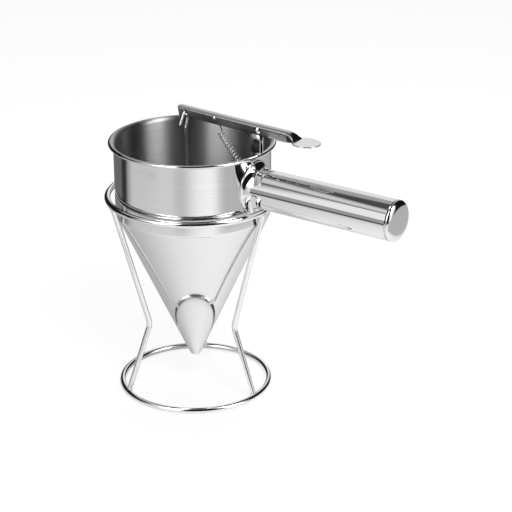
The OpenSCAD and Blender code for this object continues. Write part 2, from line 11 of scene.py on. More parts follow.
import bmesh
import bpy
from mathutils import Matrix, Vector


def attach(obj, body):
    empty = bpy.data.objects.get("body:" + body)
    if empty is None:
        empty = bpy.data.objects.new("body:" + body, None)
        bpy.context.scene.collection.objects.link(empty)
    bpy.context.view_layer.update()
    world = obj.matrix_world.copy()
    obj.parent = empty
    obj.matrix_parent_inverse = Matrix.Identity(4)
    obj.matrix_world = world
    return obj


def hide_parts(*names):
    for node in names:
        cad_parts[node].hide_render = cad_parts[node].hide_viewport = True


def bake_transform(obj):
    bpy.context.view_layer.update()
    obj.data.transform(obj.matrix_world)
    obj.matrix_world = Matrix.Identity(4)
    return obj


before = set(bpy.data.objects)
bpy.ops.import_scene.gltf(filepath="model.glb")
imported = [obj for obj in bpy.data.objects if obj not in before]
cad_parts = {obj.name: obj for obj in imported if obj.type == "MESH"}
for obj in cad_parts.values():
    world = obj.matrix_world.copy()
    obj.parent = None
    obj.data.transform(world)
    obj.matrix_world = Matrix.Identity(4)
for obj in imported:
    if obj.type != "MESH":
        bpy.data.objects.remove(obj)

log = logging.getLogger("batter_dispenser")

MM = 0.001
INSIDE = "inside"
MERGE_DISTANCE = 0.0000005
THIN_EDGE = 0.0000001
WHITE = (1.0, 1.0, 1.0, 1.0)

Tree = bpy.types.NodeTree
Node = bpy.types.Node
Socket = bpy.types.NodeSocket
Material = bpy.types.Material
Object = bpy.types.Object
Flat = tuple[float, float]
Point = tuple[float, float, float]
Faces = list[tuple[int, ...]]


class Body(Enum):
    """Bodies of the CAD model that pieces ride on."""

    STAND = "stand"
    FUNNEL = "funnel"
    LEVER = "lever"


class Slot(Enum):
    """Material slots of the record."""

    POLISHED = "polished_steel"
    SATIN = "satin_steel"
    WIRE = "wire_steel"


# ---- node trees


@dataclass(frozen=True)
class Value:
    """An output socket, with arithmetic that adds Math nodes to its tree."""

    socket: Socket

    def math(self, operation: str, *others: object) -> "Value":
        """Adds a Math node that starts with this value."""
        return Graph(self.socket.id_data).math(operation, self, *others)

    def __add__(self, other: object) -> "Value":
        """Adds another value or number."""
        return self.math("ADD", other)

    def __sub__(self, other: object) -> "Value":
        """Takes another value or number away."""
        return self.math("SUBTRACT", other)

    def __mul__(self, other: object) -> "Value":
        """Multiplies by another value or number."""
        return self.math("MULTIPLY", other)

    def __truediv__(self, other: object) -> "Value":
        """Divides by another value or number."""
        return self.math("DIVIDE", other)

    def ramp(self, low: float, high: float, to_low: float = 0.0, to_high: float = 1.0) -> "Value":
        """Maps the value smoothly from one range to another.

        Args:
            low: Value that gives to_low.
            high: Value that gives to_high.
            to_low: Result at low and below.
            to_high: Result at high and above.

        Returns:
            The mapped value.
        """
        inputs = {"Value": self, "From Min": low, "From Max": high, "To Min": to_low, "To Max": to_high}
        graph = Graph(self.socket.id_data)
        return graph.add("ShaderNodeMapRange", inputs, interpolation_type="SMOOTHSTEP")


@dataclass(frozen=True)
class Graph:
    """A node tree that is being built, for shading or for geometry."""

    tree: Tree

    @staticmethod
    def group(
        name: str, inputs: dict[str, tuple[str, object]], outputs: dict[str, str], kind: str = "ShaderNodeTree"
    ) -> tuple["Graph", dict[str, Value]]:
        """Starts a node group with named sockets.

        Args:
            name: The group's name.
            inputs: Socket kind and default value by input name.
            outputs: Socket kind by output name.
            kind: Blender's name of the tree's type.

        Returns:
            The group, and the values of its inputs by name.
        """
        tree = bpy.data.node_groups.new(name, kind)
        for label, (sort, default) in inputs.items():
            socket = tree.interface.new_socket(label, in_out="INPUT", socket_type="NodeSocket" + sort)
            if default is not None:
                socket.default_value = default
        for label, sort in outputs.items():
            tree.interface.new_socket(label, in_out="OUTPUT", socket_type="NodeSocket" + sort)
        start = tree.nodes.new("NodeGroupInput")
        return Graph(tree), {label: Value(start.outputs[label]) for label in inputs}

    @staticmethod
    def geometry(name: str, inputs: dict[str, tuple[str, object]]) -> tuple["Graph", dict[str, Value]]:
        """Starts a geometry tree with a Geometry input and output beside the named inputs."""
        sockets = {"Geometry": ("Geometry", None)} | inputs
        return Graph.group(name, sockets, {"Geometry": "Geometry"}, "GeometryNodeTree")

    def feed(self, target: Socket, value: object) -> None:
        """Links a value to an input, or sets a plain value on it.

        Args:
            target: The input.
            value: A value or a plain value.
        """
        if isinstance(value, Value):
            self.tree.links.new(value.socket, target)
        else:
            target.default_value = value

    def node(self, kind: str, inputs: dict[str | int, object] | None = None, **settings: object) -> Node:
        """Adds a node.

        Args:
            kind: Blender's name of the node's type.
            inputs: Values or plain values by input name or number.
            settings: The node's own settings, which are set first.

        Returns:
            The node.
        """
        made = self.tree.nodes.new(kind)
        for key, value in settings.items():
            setattr(made, key, value)
        for key, value in (inputs or {}).items():
            self.feed(made.inputs[key], value)
        return made

    def add(
        self, kind: str, inputs: dict[str | int, object] | None = None, out: str | int = 0, **settings: object
    ) -> Value:
        """Adds a node as node() does, and gives the value of its output out."""
        return Value(self.node(kind, inputs, **settings).outputs[out])

    def math(self, operation: str, *values: object) -> Value:
        """Adds a Math node with these values or numbers as its inputs."""
        return self.add("ShaderNodeMath", dict(enumerate(values)), operation=operation)

    def place(self, group: Tree, **values: object) -> dict[str, Value]:
        """Places a shader group.

        Args:
            group: The group.
            values: Values or plain values by input name, with _ for a space.

        Returns:
            The group's outputs by name.
        """
        inputs = {key.replace("_", " "): value for key, value in values.items()}
        made = self.node("ShaderNodeGroup", inputs, node_tree=group)
        return {socket.name: Value(socket) for socket in made.outputs}

    def give(self, **values: Value) -> Tree:
        """Feeds the group's outputs by name and gives the finished tree."""
        self.node("NodeGroupOutput", values)
        return self.tree

    def give_smooth(self, made: Value, finish: Value) -> Tree:
        """Ends a geometry tree with Realize Instances, smooth shading and Set Material.

        Args:
            made: Geometry so far.
            finish: Material.

        Returns:
            The finished tree.
        """
        real = self.add("GeometryNodeRealizeInstances", {0: made})
        smooth = self.add("GeometryNodeSetShadeSmooth", {0: real})
        return self.give(Geometry=self.add("GeometryNodeSetMaterial", {"Geometry": smooth, "Material": finish}))


def new_material(name: str) -> tuple[Material, Graph, dict[str, Socket]]:
    """Starts a material.

    Args:
        name: Its name.

    Returns:
        The material, its tree, and its shader's inputs.
    """
    made = bpy.data.materials.new(name)
    made.use_nodes = True
    return made, Graph(made.node_tree), made.node_tree.nodes["Principled BSDF"].inputs


# ---- shared effects


def brush_group() -> Tree:
    """Builds the group for brushing: fine lines that run along one direction of the coordinates.

    Returns:
        A group with a height for Bump and a value for roughness and colour.
    """
    sockets = {
        "Vector": ("Vector", None),
        "Fine": ("Vector", (40.0, 40.0, 9000.0)),
        "Coarse": ("Vector", (12.0, 12.0, 1500.0)),
    }
    graph, start = Graph.group("BrushLines", sockets, {"Height": "Float", "Value": "Float"})
    lines = []
    for label, detail, share in (("Fine", 2.0, 0.55), ("Coarse", 3.0, 0.45)):
        drawn = graph.add("ShaderNodeVectorMath", {0: start["Vector"], 1: start[label]}, operation="MULTIPLY")
        noise = {"Vector": drawn, "Scale": 1.0, "Detail": detail, "Roughness": 0.6}
        lines.append(graph.add("ShaderNodeTexNoise", noise) * share)
    mixed = lines[0] + lines[1]
    return graph.give(Height=mixed, Value=mixed.ramp(0.36, 0.64))


def handling_group() -> Tree:
    """Builds the group for handling marks: soft smears of a wiped surface and a few hairline scratches.

    Returns:
        A group with a smear mask and a scratch mask, both 0 to 1.
    """
    sockets = {
        "Vector": ("Vector", None),
        "Smear Scale": ("Float", 28.0),
        "Scratch Scale": ("Float", 90.0),
    }
    graph, start = Graph.group("HandlingMarks", sockets, {"Smear": "Float", "Scratch": "Float"})
    cloud = {"Vector": start["Vector"], "Scale": start["Smear Scale"], "Detail": 4.0, "Distortion": 0.8}
    noise = graph.add("ShaderNodeTexNoise", cloud)
    turn = {"Vector": start["Vector"], "Rotation": (0.5, 0.9, 0.3), "Scale": (1.0, 0.05, 1.0)}
    cells = {"Vector": graph.add("ShaderNodeMapping", turn), "Scale": start["Scratch Scale"]}
    edge = graph.add("ShaderNodeTexVoronoi", cells, feature="DISTANCE_TO_EDGE")
    thin, few = edge.ramp(0.0, 0.012, 1.0, 0.0), noise.ramp(0.55, 0.7)
    return graph.give(Smear=noise.ramp(0.42, 0.68), Scratch=thin * few)


def dent_group() -> Tree:
    """Builds the group for the soft unevenness that pressing and bending leave in sheet metal.

    Returns:
        A group with a height from 0 to 1.
    """
    sockets = {"Vector": ("Vector", None), "Scale": ("Float", 150.0)}
    graph, start = Graph.group("PressedSheet", sockets, {"Height": "Float"})
    return graph.give(Height=graph.add("ShaderNodeTexNoise", start | {"Detail": 0.6, "Roughness": 0.35}))


@dataclass
class Effects:
    """Shared shader groups, each built once."""

    brush: Tree = field(default_factory=brush_group)
    handling: Tree = field(default_factory=handling_group)
    dents: Tree = field(default_factory=dent_group)


# ---- finishes


class Brushing(Enum):
    """Direction of the polishing lines, as the brush group's Fine and Coarse scales."""

    ROUND_HOPPER = ((14.0, 14.0, 5200.0), (6.0, 6.0, 900.0))
    ALONG_HANDLE = ((14.0, 5200.0, 5200.0), (6.0, 900.0, 900.0))
    ALONG_LEVER = ((60.0, 7000.0, 7000.0), (25.0, 1500.0, 1500.0))
    NONE = ((900.0, 900.0, 900.0), (160.0, 160.0, 160.0))


@dataclass(frozen=True)
class SteelFinish:
    """A stainless steel finish.

    Attributes:
        name: Material name.
        colour: Reflected colour.
        roughness: Roughness of the clean surface.
        brushing: Direction of the polishing lines.
        line_depth: Height of the polishing lines, in metres.
        line_rough: Roughness that the lines add.
        line_dark: How far the lines darken the colour.
        smear_rough: Roughness that handling adds.
        anisotropy: How far highlights stretch across the lines.
        dent_depth: Depth of the sheet's soft unevenness, in metres.
        dent_scale: Dents per metre.
        line_shade: The darkest line's share of the colour.
        line_strength: Strength of the lines' bump.
        scratch_share: Depth of a scratch beside the lines.
        roughest: Limit of the roughness.
        stretch_turn: Direction of the highlights, in turns.
    """

    name: str
    colour: Point = (0.74, 0.74, 0.735)
    roughness: float = 0.1
    brushing: Brushing = Brushing.NONE
    line_depth: float = 0.000003
    line_rough: float = 0.03
    line_dark: float = 0.1
    smear_rough: float = 0.03
    anisotropy: float = 0.0
    dent_depth: float = 0.0
    dent_scale: float = 150.0
    line_shade: float = 0.45
    line_strength: float = 0.35
    scratch_share: float = 0.6
    roughest: float = 0.9
    stretch_turn: float = 0.25

    def material(self, effects: Effects) -> Material:
        """Builds the material.

        Args:
            effects: Shared shader groups.

        Returns:
            The material.
        """
        made, graph, shader = new_material(self.name)
        place = graph.add("ShaderNodeTexCoord", out="Object")
        marks = graph.place(effects.handling, Vector=place)
        fine, coarse = self.brushing.value
        lines = graph.place(effects.brush, Vector=place, Fine=fine, Coarse=coarse)
        rough = lines["Value"] * self.line_rough + marks["Smear"] * self.smear_rough + self.roughness
        tint = {
            "A": (*self.colour, 1.0),
            "B": (*(self.line_shade * c for c in self.colour), 1.0),
            "Factor": lines["Value"] * self.line_dark,
        }
        bump = {
            "Strength": self.line_strength,
            "Distance": self.line_depth,
            "Height": lines["Height"] - marks["Scratch"] * self.scratch_share,
        }
        if self.dent_depth:
            dents = graph.place(effects.dents, Vector=place, Scale=self.dent_scale)["Height"]
            press = {"Strength": 1.0, "Distance": self.dent_depth, "Height": dents}
            bump["Normal"] = graph.add("ShaderNodeBump", press)
        sockets = {
            "Base Color": graph.add("ShaderNodeMix", tint, out="Result", data_type="RGBA"),
            "Roughness": rough.math("MINIMUM", self.roughest),
            "Metallic": 1.0,
            "Normal": graph.add("ShaderNodeBump", bump),
        }
        if self.anisotropy:
            sockets |= {
                "Tangent": graph.add("ShaderNodeTangent", direction_type="RADIAL", axis="Z"),
                "Anisotropic": self.anisotropy,
                "Anisotropic Rotation": self.stretch_turn,
            }
        for label, value in sockets.items():
            graph.feed(shader[label], value)
        return made


class Coat(Enum):
    """Every finish of the object."""

    DRUM = SteelFinish(
        "HopperDrumSteel", roughness=0.06, brushing=Brushing.ROUND_HOPPER, line_rough=0.02, anisotropy=0.6
    )
    CONE = SteelFinish(
        "HopperConeSteel",
        roughness=0.035,
        brushing=Brushing.ROUND_HOPPER,
        line_depth=0.000001,
        line_rough=0.012,
        line_dark=0.05,
        smear_rough=0.02,
        anisotropy=0.3,
    )
    # Inside steel: rougher brushing, and a colour darker than the outside steel's, which paints deeper shade
    # inside the hopper.
    LINING = SteelFinish(
        "HopperInsideSteel",
        (0.5, 0.5, 0.496),
        0.33,
        Brushing.ROUND_HOPPER,
        line_depth=0.000005,
        line_rough=0.06,
        line_dark=0.25,
        smear_rough=0.01,
        anisotropy=0.97,
    )
    HANDLE = SteelFinish(
        "HandleSteel", roughness=0.05, brushing=Brushing.ALONG_HANDLE, line_depth=0.000002, line_rough=0.02
    )
    FLANGE = SteelFinish(
        "FlangeSteel", roughness=0.035, line_depth=0.000001, dent_depth=0.0002, dent_scale=120.0
    )
    POST = SteelFinish("PostSteel", roughness=0.04, line_depth=0.000001, dent_depth=0.003, dent_scale=125.0)
    WIRE = SteelFinish("BrightWire", (0.8, 0.8, 0.795), 0.12)
    ROD = SteelFinish("ValveRodWire", (0.72, 0.72, 0.715), 0.07)
    SPRING = SteelFinish("SpringWire", (0.86, 0.86, 0.855), 0.09)
    # Lever steel: satin brushing, and a colour darker than the thumb plate's, which paints the shade on the
    # channel.
    LEVER = SteelFinish(
        "LeverSatinSteel",
        (0.48, 0.48, 0.475),
        0.15,
        Brushing.ALONG_LEVER,
        line_depth=0.000002,
        dent_depth=0.00012,
    )
    THUMB = SteelFinish("ThumbPlateSteel", roughness=0.16, brushing=Brushing.ALONG_LEVER)
    RIVET = SteelFinish("RivetSteel")
    TURNED = SteelFinish(
        "TurnedTipSteel", roughness=0.16, brushing=Brushing.ROUND_HOPPER, line_depth=0.000006
    )


@dataclass
class Finishes:
    """The material of every coat, each built once."""

    effects: Effects = field(default_factory=Effects)
    made: dict[Coat, Material] = field(default_factory=dict)

    def __post_init__(self) -> None:
        """Builds the materials."""
        self.made = {coat: coat.value.material(self.effects) for coat in Coat}

    def __getitem__(self, coat: Coat) -> Material:
        """Gives a coat's material."""
        return self.made[coat]

    def dress(self, coat: Coat, *nodes: str) -> None:
        """Gives CAD nodes their finish.

        Args:
            coat: The finish.
            nodes: Names of the nodes.
        """
        for node in nodes:
            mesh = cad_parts[node].data
            mesh.materials.clear()
            mesh.materials.append(self[coat])
            log.info("dressed %s with %s", node, self[coat].name)


# ---- meshes


def full_turn(steps: int) -> list[float]:
    """Lists the angles of a full turn in equal steps, in radians."""
    return [2 * pi * i / steps for i in range(steps)]


def arc(centre: Flat, r: float, start: float, stop: float, steps: int) -> list[Flat]:
    """Lists points of an arc in equal steps, from start to stop degrees, both ends included."""
    turns = [radians(start + (stop - start) * k / steps) for k in range(steps + 1)]
    return [(centre[0] + r * cos(a), centre[1] + r * sin(a)) for a in turns]


def between(a: Flat, b: Flat, share: float) -> Flat:
    """Gives the point at a share of the way from a to b."""
    return (a[0] + (b[0] - a[0]) * share, a[1] + (b[1] - a[1]) * share)


def grid_faces(rows: int, columns: int, closed: bool, first: int = 0) -> Faces:
    """Lists the quads of a grid whose points are stored row by row.

    Args:
        rows: Number of rows.
        columns: Points in a row.
        closed: Whether the last column joins the first.
        first: Index of the grid's first point.

    Returns:
        The quads.
    """
    faces = []
    for r in range(rows - 1):
        low = first + r * columns
        for c in range(columns if closed else columns - 1):
            d = (c + 1) % columns
            faces.append((low + c, low + d, low + columns + d, low + columns + c))
    return faces


def end_faces(first: int, count: int, rows: int) -> Faces:
    """Closes the first and the last row of a grid of closed rows with one face each."""
    last = first + (rows - 1) * count
    return [tuple(range(first, first + count))[::-1], tuple(range(last, last + count))]


def new_object(
    name: str, points: list[Point], edges: list[tuple[int, int]], faces: Faces, finish: Material | None = None
) -> Object:
    """Makes an object at the origin.

    Args:
        name: Object name.
        points: Points in metres.
        edges: Edges without faces.
        faces: Faces as indices.
        finish: Finish, if it isn't given later.

    Returns:
        The object.
    """
    mesh = bpy.data.meshes.new(name)
    mesh.from_pydata(points, edges, faces)
    if finish:
        mesh.materials.append(finish)
    made = bpy.data.objects.new(name, mesh)
    bpy.context.scene.collection.objects.link(made)
    return made


def finish_mesh(mesh: bpy.types.Mesh, sharp: float = 35.0) -> None:
    """Merges doubles, turns the faces outward and smooths all but the sharp edges.

    Args:
        mesh: The mesh.
        sharp: Angle in degrees from which an edge stays sharp.
    """
    work = bmesh.new()
    work.from_mesh(mesh)
    bmesh.ops.remove_doubles(work, verts=work.verts, dist=MERGE_DISTANCE)
    bmesh.ops.dissolve_degenerate(work, edges=work.edges, dist=THIN_EDGE)
    bmesh.ops.recalc_face_normals(work, faces=work.faces)
    for face in work.faces:
        face.smooth = True
    limit = radians(sharp)
    for edge in work.edges:
        edge.smooth = not (len(edge.link_faces) == 2 and edge.calc_face_angle(0.0) > limit)
    work.to_mesh(mesh)
    work.free()


def make_piece(name: str, points: list[Point], faces: Faces, finish: Material, sharp: float) -> Object:
    """Makes a closed piece with outward faces.

    Args:
        name: Object name.
        points: Points in metres.
        faces: Faces as indices.
        finish: Finish.
        sharp: Angle in degrees from which an edge stays sharp.

    Returns:
        The object.
    """
    piece = new_object(name, points, [], faces, finish)
    finish_mesh(piece.data, sharp)
    return piece


def settle(piece: Object, modifier: bpy.types.Modifier) -> None:
    """Replaces a piece's mesh by its modifier's result and removes the modifier.

    Args:
        piece: The piece.
        modifier: Its only modifier.
    """
    bpy.context.view_layer.update()
    graph = bpy.context.evaluated_depsgraph_get()
    made = bpy.data.meshes.new_from_object(piece.evaluated_get(graph))
    piece.modifiers.remove(modifier)
    old = piece.data
    piece.data = made
    made.name = piece.name
    bpy.data.meshes.remove(old)


def run_tree(piece: Object, tree: Tree, **values: object) -> None:
    """Runs a geometry node tree on a piece and keeps its result as a plain mesh.

    Args:
        piece: The piece that holds the tree's input geometry.
        tree: The tree.
        values: Inputs by name, with _ for a space.
    """
    modifier = piece.modifiers.new("Nodes", "NODES")
    modifier.node_group = tree
    names = {item.name: item.identifier for item in tree.interface.items_tree if item.item_type == "SOCKET"}
    for key, value in values.items():
        modifier[names[key.replace("_", " ")]] = value
    settle(piece, modifier)


def path_piece(name: str, runs: list[list[Point]], closed: bool = False) -> Object:
    """Makes an object whose mesh is one or more lines of points.

    Args:
        name: Object name.
        runs: Lines of points.
        closed: Whether each line's last point joins its first.

    Returns:
        The object.
    """
    points, edges = [], []
    for run in runs:
        first = len(points)
        points += run
        edges += [(first + i, first + i + 1) for i in range(len(run) - 1)]
        if closed:
            edges.append((first + len(run) - 1, first))
    return new_object(name, points, edges, [])


# ---- geometry trees


def wire_tree() -> Tree:
    """Builds the tree that runs a round wire along the edges of its input.

    Returns:
        The tree, with the wire's radius, its sides and its material as inputs.
    """
    sockets = {"Wire Radius": ("Float", 0.0004), "Sides": ("Int", 12), "Finish": ("Material", None)}
    graph, start = Graph.geometry("RoundWire", sockets)
    path = graph.add("GeometryNodeMeshToCurve", {"Mesh": start["Geometry"]})
    size = {"Radius": start["Wire Radius"], "Resolution": start["Sides"]}
    circle = graph.add("GeometryNodeCurvePrimitiveCircle", size)
    sweep = {"Curve": path, "Profile Curve": circle, "Fill Caps": True}
    return graph.give_smooth(graph.add("GeometryNodeCurveToMesh", sweep), start["Finish"])


def lathe_tree() -> Tree:
    """Builds the tree that turns a closed profile of (radius, 0, height) about the Z axis.

    Profile points with the attribute inside set to 1 take the inside finish.

    Returns:
        The tree, with the number of segments and the two finishes as inputs.
    """
    sockets = {
        "Segments": ("Int", 192),
        "Outside Finish": ("Material", None),
        "Inside Finish": ("Material", None),
    }
    graph, start = Graph.geometry("TurnedShell", sockets)
    profile, segments = start["Geometry"], start["Segments"]
    count = graph.add("GeometryNodeAttributeDomainSize", {0: profile})
    sheet = graph.add("GeometryNodeMeshGrid", {"Vertices X": segments + 1.0, "Vertices Y": count})
    index = graph.add("GeometryNodeInputIndex")
    column = ((index + 0.5) / count).math("FLOOR")
    row = index - column * count

    def sampled(value: Value, kind: str) -> Value:
        """Reads a value of the profile's point for this row."""
        inputs = {"Geometry": profile, "Value": value, "Index": row}
        return graph.add("GeometryNodeSampleIndex", inputs, data_type=kind)

    def flag() -> Value:
        """Reads the attribute inside."""
        return graph.add("GeometryNodeInputNamedAttribute", {"Name": INSIDE}, data_type="FLOAT")

    spot = sampled(graph.add("GeometryNodeInputPosition"), "FLOAT_VECTOR")
    axes = graph.node("ShaderNodeSeparateXYZ", {0: spot}).outputs
    radius, turn = Value(axes[0]), column * (2.0 * pi) / segments
    place = {0: radius * turn.math("COSINE"), 1: radius * turn.math("SINE"), 2: Value(axes[2])}
    bend = {"Geometry": sheet, "Position": graph.add("ShaderNodeCombineXYZ", place)}
    bent = graph.add("GeometryNodeSetPosition", bend)
    keep = {"Geometry": bent, "Name": INSIDE, "Value": sampled(flag(), "FLOAT")}
    kept = graph.add("GeometryNodeStoreNamedAttribute", keep, data_type="FLOAT", domain="POINT")
    merged = graph.add("GeometryNodeMergeByDistance", {"Geometry": kept, "Distance": MERGE_DISTANCE})
    real = graph.add("GeometryNodeRealizeInstances", {0: merged})
    outside = {"Geometry": real, "Material": start["Outside Finish"]}
    inside = {
        "Geometry": graph.add("GeometryNodeSetMaterial", outside),
        "Selection": flag().math("GREATER_THAN", 0.5),
        "Material": start["Inside Finish"],
    }
    return graph.give(Geometry=graph.add("GeometryNodeSetMaterial", inside))


def bead_tree() -> Tree:
    """Builds the tree that lays overlapping drops of weld metal along the edges of its input.

    Returns:
        The tree, with the drops' radius, spacing and unevenness and the material as inputs.
    """
    sockets = {
        "Drop Radius": ("Float", 0.001),
        "Spacing": ("Float", 0.0008),
        "Unevenness": ("Float", 0.2),
        "Finish": ("Material", None),
    }
    graph, start = Graph.geometry("WeldBead", sockets)
    path = graph.add("GeometryNodeMeshToCurve", {"Mesh": start["Geometry"]})
    spots = graph.add("GeometryNodeCurveToPoints", {"Curve": path, "Length": start["Spacing"]}, mode="LENGTH")
    ball = {"Segments": 12, "Rings": 8, "Radius": start["Drop Radius"]}
    drop = graph.add("GeometryNodeMeshUVSphere", ball)
    low = graph.math("SUBTRACT", 1.0, start["Unevenness"])
    high = graph.math("ADD", 1.0, start["Unevenness"])
    size = graph.add("FunctionNodeRandomValue", {"Seed": 7, 2: low, 3: high}, out=1, data_type="FLOAT")
    lay = {"Points": spots, "Instance": drop, "Scale": size}
    return graph.give_smooth(graph.add("GeometryNodeInstanceOnPoints", lay), start["Finish"])


@dataclass(frozen=True)
class Tools:
    """The geometry trees and the finishes that the pieces share."""

    lathe: Tree = field(default_factory=lathe_tree)
    wire: Tree = field(default_factory=wire_tree)
    bead: Tree = field(default_factory=bead_tree)
    finishes: Finishes = field(default_factory=Finishes)

    def turned(
        self, name: str, outer: list[Flat], inner: list[Flat], coats: tuple[Coat, Coat], segments: int
    ) -> Object:
        """Turns a closed profile into a piece.

        Args:
            name: Object name.
            outer: Profile points of the outer face, as (radius, height) in millimetres.
            inner: Profile points of the inner face, from where the outer face ends back to its start.
            coats: Finishes of the outer and the inner face.
            segments: Steps round the axis.

        Returns:
            The piece.
        """
        line = outer + inner + outer[:1]
        piece = path_piece(name, [[(r * MM, 0.0, z * MM) for r, z in line]])
        flags = piece.data.attributes.new(INSIDE, "FLOAT", "POINT")
        for i, flag in enumerate(flags.data):
            flag.value = 1.0 if len(outer) <= i < len(line) - 1 else 0.0
        outside, inside = (self.finishes[coat] for coat in coats)
        run_tree(piece, self.lathe, Segments=segments, Outside_Finish=outside, Inside_Finish=inside)
        finish_mesh(piece.data)
        return piece


# ---- pieces


@dataclass
class Part:
    """A part of the object, with the shared tools and the sizes in millimetres that parts share."""

    tools: Tools
    drum_r: float = 56.3
    sheet: float = 0.9
    tube_r: float = 14.2
    tube_z: float = 166.3
    pivot: Flat = (58.9, 209.148)

    def coat(self, coat: Coat) -> Material:
        """Gives the material of a coat."""
        return self.tools.finishes[coat]

    def report(self, piece: Object) -> None:
        """Logs a finished piece."""
        log.info("%s: %d faces", piece.name, len(piece.data.polygons))


@dataclass
class Hopper(Part):
    """Drum with its rolled rim, and the cone under it, in millimetres."""

    shoulder_r: float = 6.0
    shoulder_z: float = 138.66
    rim_z: float = 191.048
    bead_r: float = 1.2
    bead_at: float = 58.8
    bead_from: float = 174.0
    flare_r: float = 2.2
    flare_to: float = 114.0
    cone_angle: float = 24.7
    tip_join: Flat = (6.36, 28.75)
    tip_wall: float = 0.99
    bend_steps: int = 8
    under_steps: int = 10
    cone_steps: int = 12
    bead_steps: int = 22
    segments: int = 240

    def build(self) -> None:
        """Makes the drum and the cone in place of their CAD nodes."""
        for name, node, (outer, inner), coat in (
            ("DrumShell", "hopper_drum", self.drum(), Coat.DRUM),
            ("ConeShell", "hopper_cone", self.cone(), Coat.CONE),
        ):
            piece = self.tools.turned(name, outer, inner, (coat, Coat.LINING), self.segments)
            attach(piece, Body.FUNNEL.value)
            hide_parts(node)
            self.report(piece)

    def drum(self) -> tuple[list[Flat], list[Flat]]:
        """Lists the drum's profile: wall, flare and rolled bead.

        Returns:
            Its outer and its inner points, as (radius, height).
        """
        centre_x = self.drum_r + self.flare_r
        reach = self.flare_r + self.sheet - self.bead_r
        lean = degrees(acos((self.bead_at - centre_x) / reach))
        centre = (centre_x, self.rim_z - self.bead_r - reach * sin(radians(lean)))
        steps, rise = self.bend_steps, centre[1] - self.shoulder_z
        wall = [self.shoulder_z + rise * k / steps for k in range(steps)]
        outer = [(self.drum_r, z) for z in wall]
        outer += arc(centre, self.flare_r, 180.0, self.flare_to, steps)
        bead = (self.bead_at, self.rim_z - self.bead_r)
        outer += arc(bead, self.bead_r, self.bead_from, 360.0 + lean, self.bead_steps)[1:]
        inner = arc(centre, self.flare_r + self.sheet, lean, 180.0, self.under_steps)[1:]
        inner += [(self.drum_r - self.sheet, z) for z in reversed(wall)]
        return outer, inner

    def cone(self) -> tuple[list[Flat], list[Flat]]:
        """Lists the cone's profile, from the tip up over the shoulder.

        Returns:
            Its outer and its inner points, as (radius, height).
        """
        centre, steps = (self.drum_r - self.shoulder_r, self.shoulder_z), self.cone_steps
        bend = arc(centre, self.shoulder_r, -self.cone_angle, 0.0, self.bend_steps)
        lining = arc(centre, self.shoulder_r - self.sheet, 0.0, -self.cone_angle, self.bend_steps)
        inner_tip = (self.tip_join[0] - self.tip_wall, self.tip_join[1])
        outer = [between(self.tip_join, bend[0], k / steps) for k in range(steps)] + bend
        return outer, lining + [between(lining[-1], inner_tip, (k + 1) / steps) for k in range(steps)]


@dataclass
class EndCap(Part):
    """Cap of the handle tube, in millimetres: an open seam, a short wall and a nearly flat dome."""

    tube_end: float = 168.0
    proud: float = 0.12
    height: float = 4.6
    roof: float = 1.5
    skirt_r: float = 13.15
    skirt_t: float = 1.0
    skirt: float = 9.0
    seam: float = 0.85
    seam_in: float = 1.12
    seam_line: tuple[Flat, ...] = ((-1.1, -0.1), (-0.7, 0.0), (-0.2, 0.02), (-0.05, 0.12), (0.0, 0.3))
    tube_gap: float = 0.02
    wall: float = 0.55
    dome: float = 4.4
    segments: int = 128

    def build(self) -> None:
        """Makes the cap in place of its CAD node."""
        r, seam, wall = self.tube_r + self.proud, self.seam, self.seam + self.wall
        outer = [(self.skirt_r, -self.skirt), (self.skirt_r, self.tube_gap), (r - self.seam_in, self.tube_gap)]
        outer += [(r + out, seam + up) for out, up in self.seam_line] + [(r, wall)]
        for a in range(4, 90, 4):
            out = r * cos(radians(a)) ** (2 / self.dome)
            outer.append((out, wall + (self.height - wall) * sqrt(1 - (out / r) ** self.dome)))
        outer.append((0.0, self.height))
        under, bore = self.height - self.roof, self.skirt_r - self.skirt_t
        inner = [(0.0, under), (bore, under), (bore, -self.skirt)]
        piece = self.tools.turned("EndCapShell", outer, inner, (Coat.HANDLE, Coat.HANDLE), self.segments)
        rows = ((0, 0, 1, self.tube_end * MM), (0, 1, 0, 0), (-1, 0, 0, self.tube_z * MM), (0, 0, 0, 1))
        piece.data.transform(Matrix(rows))
        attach(piece, Body.FUNNEL.value)
        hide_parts("handle_cap")
        self.report(piece)


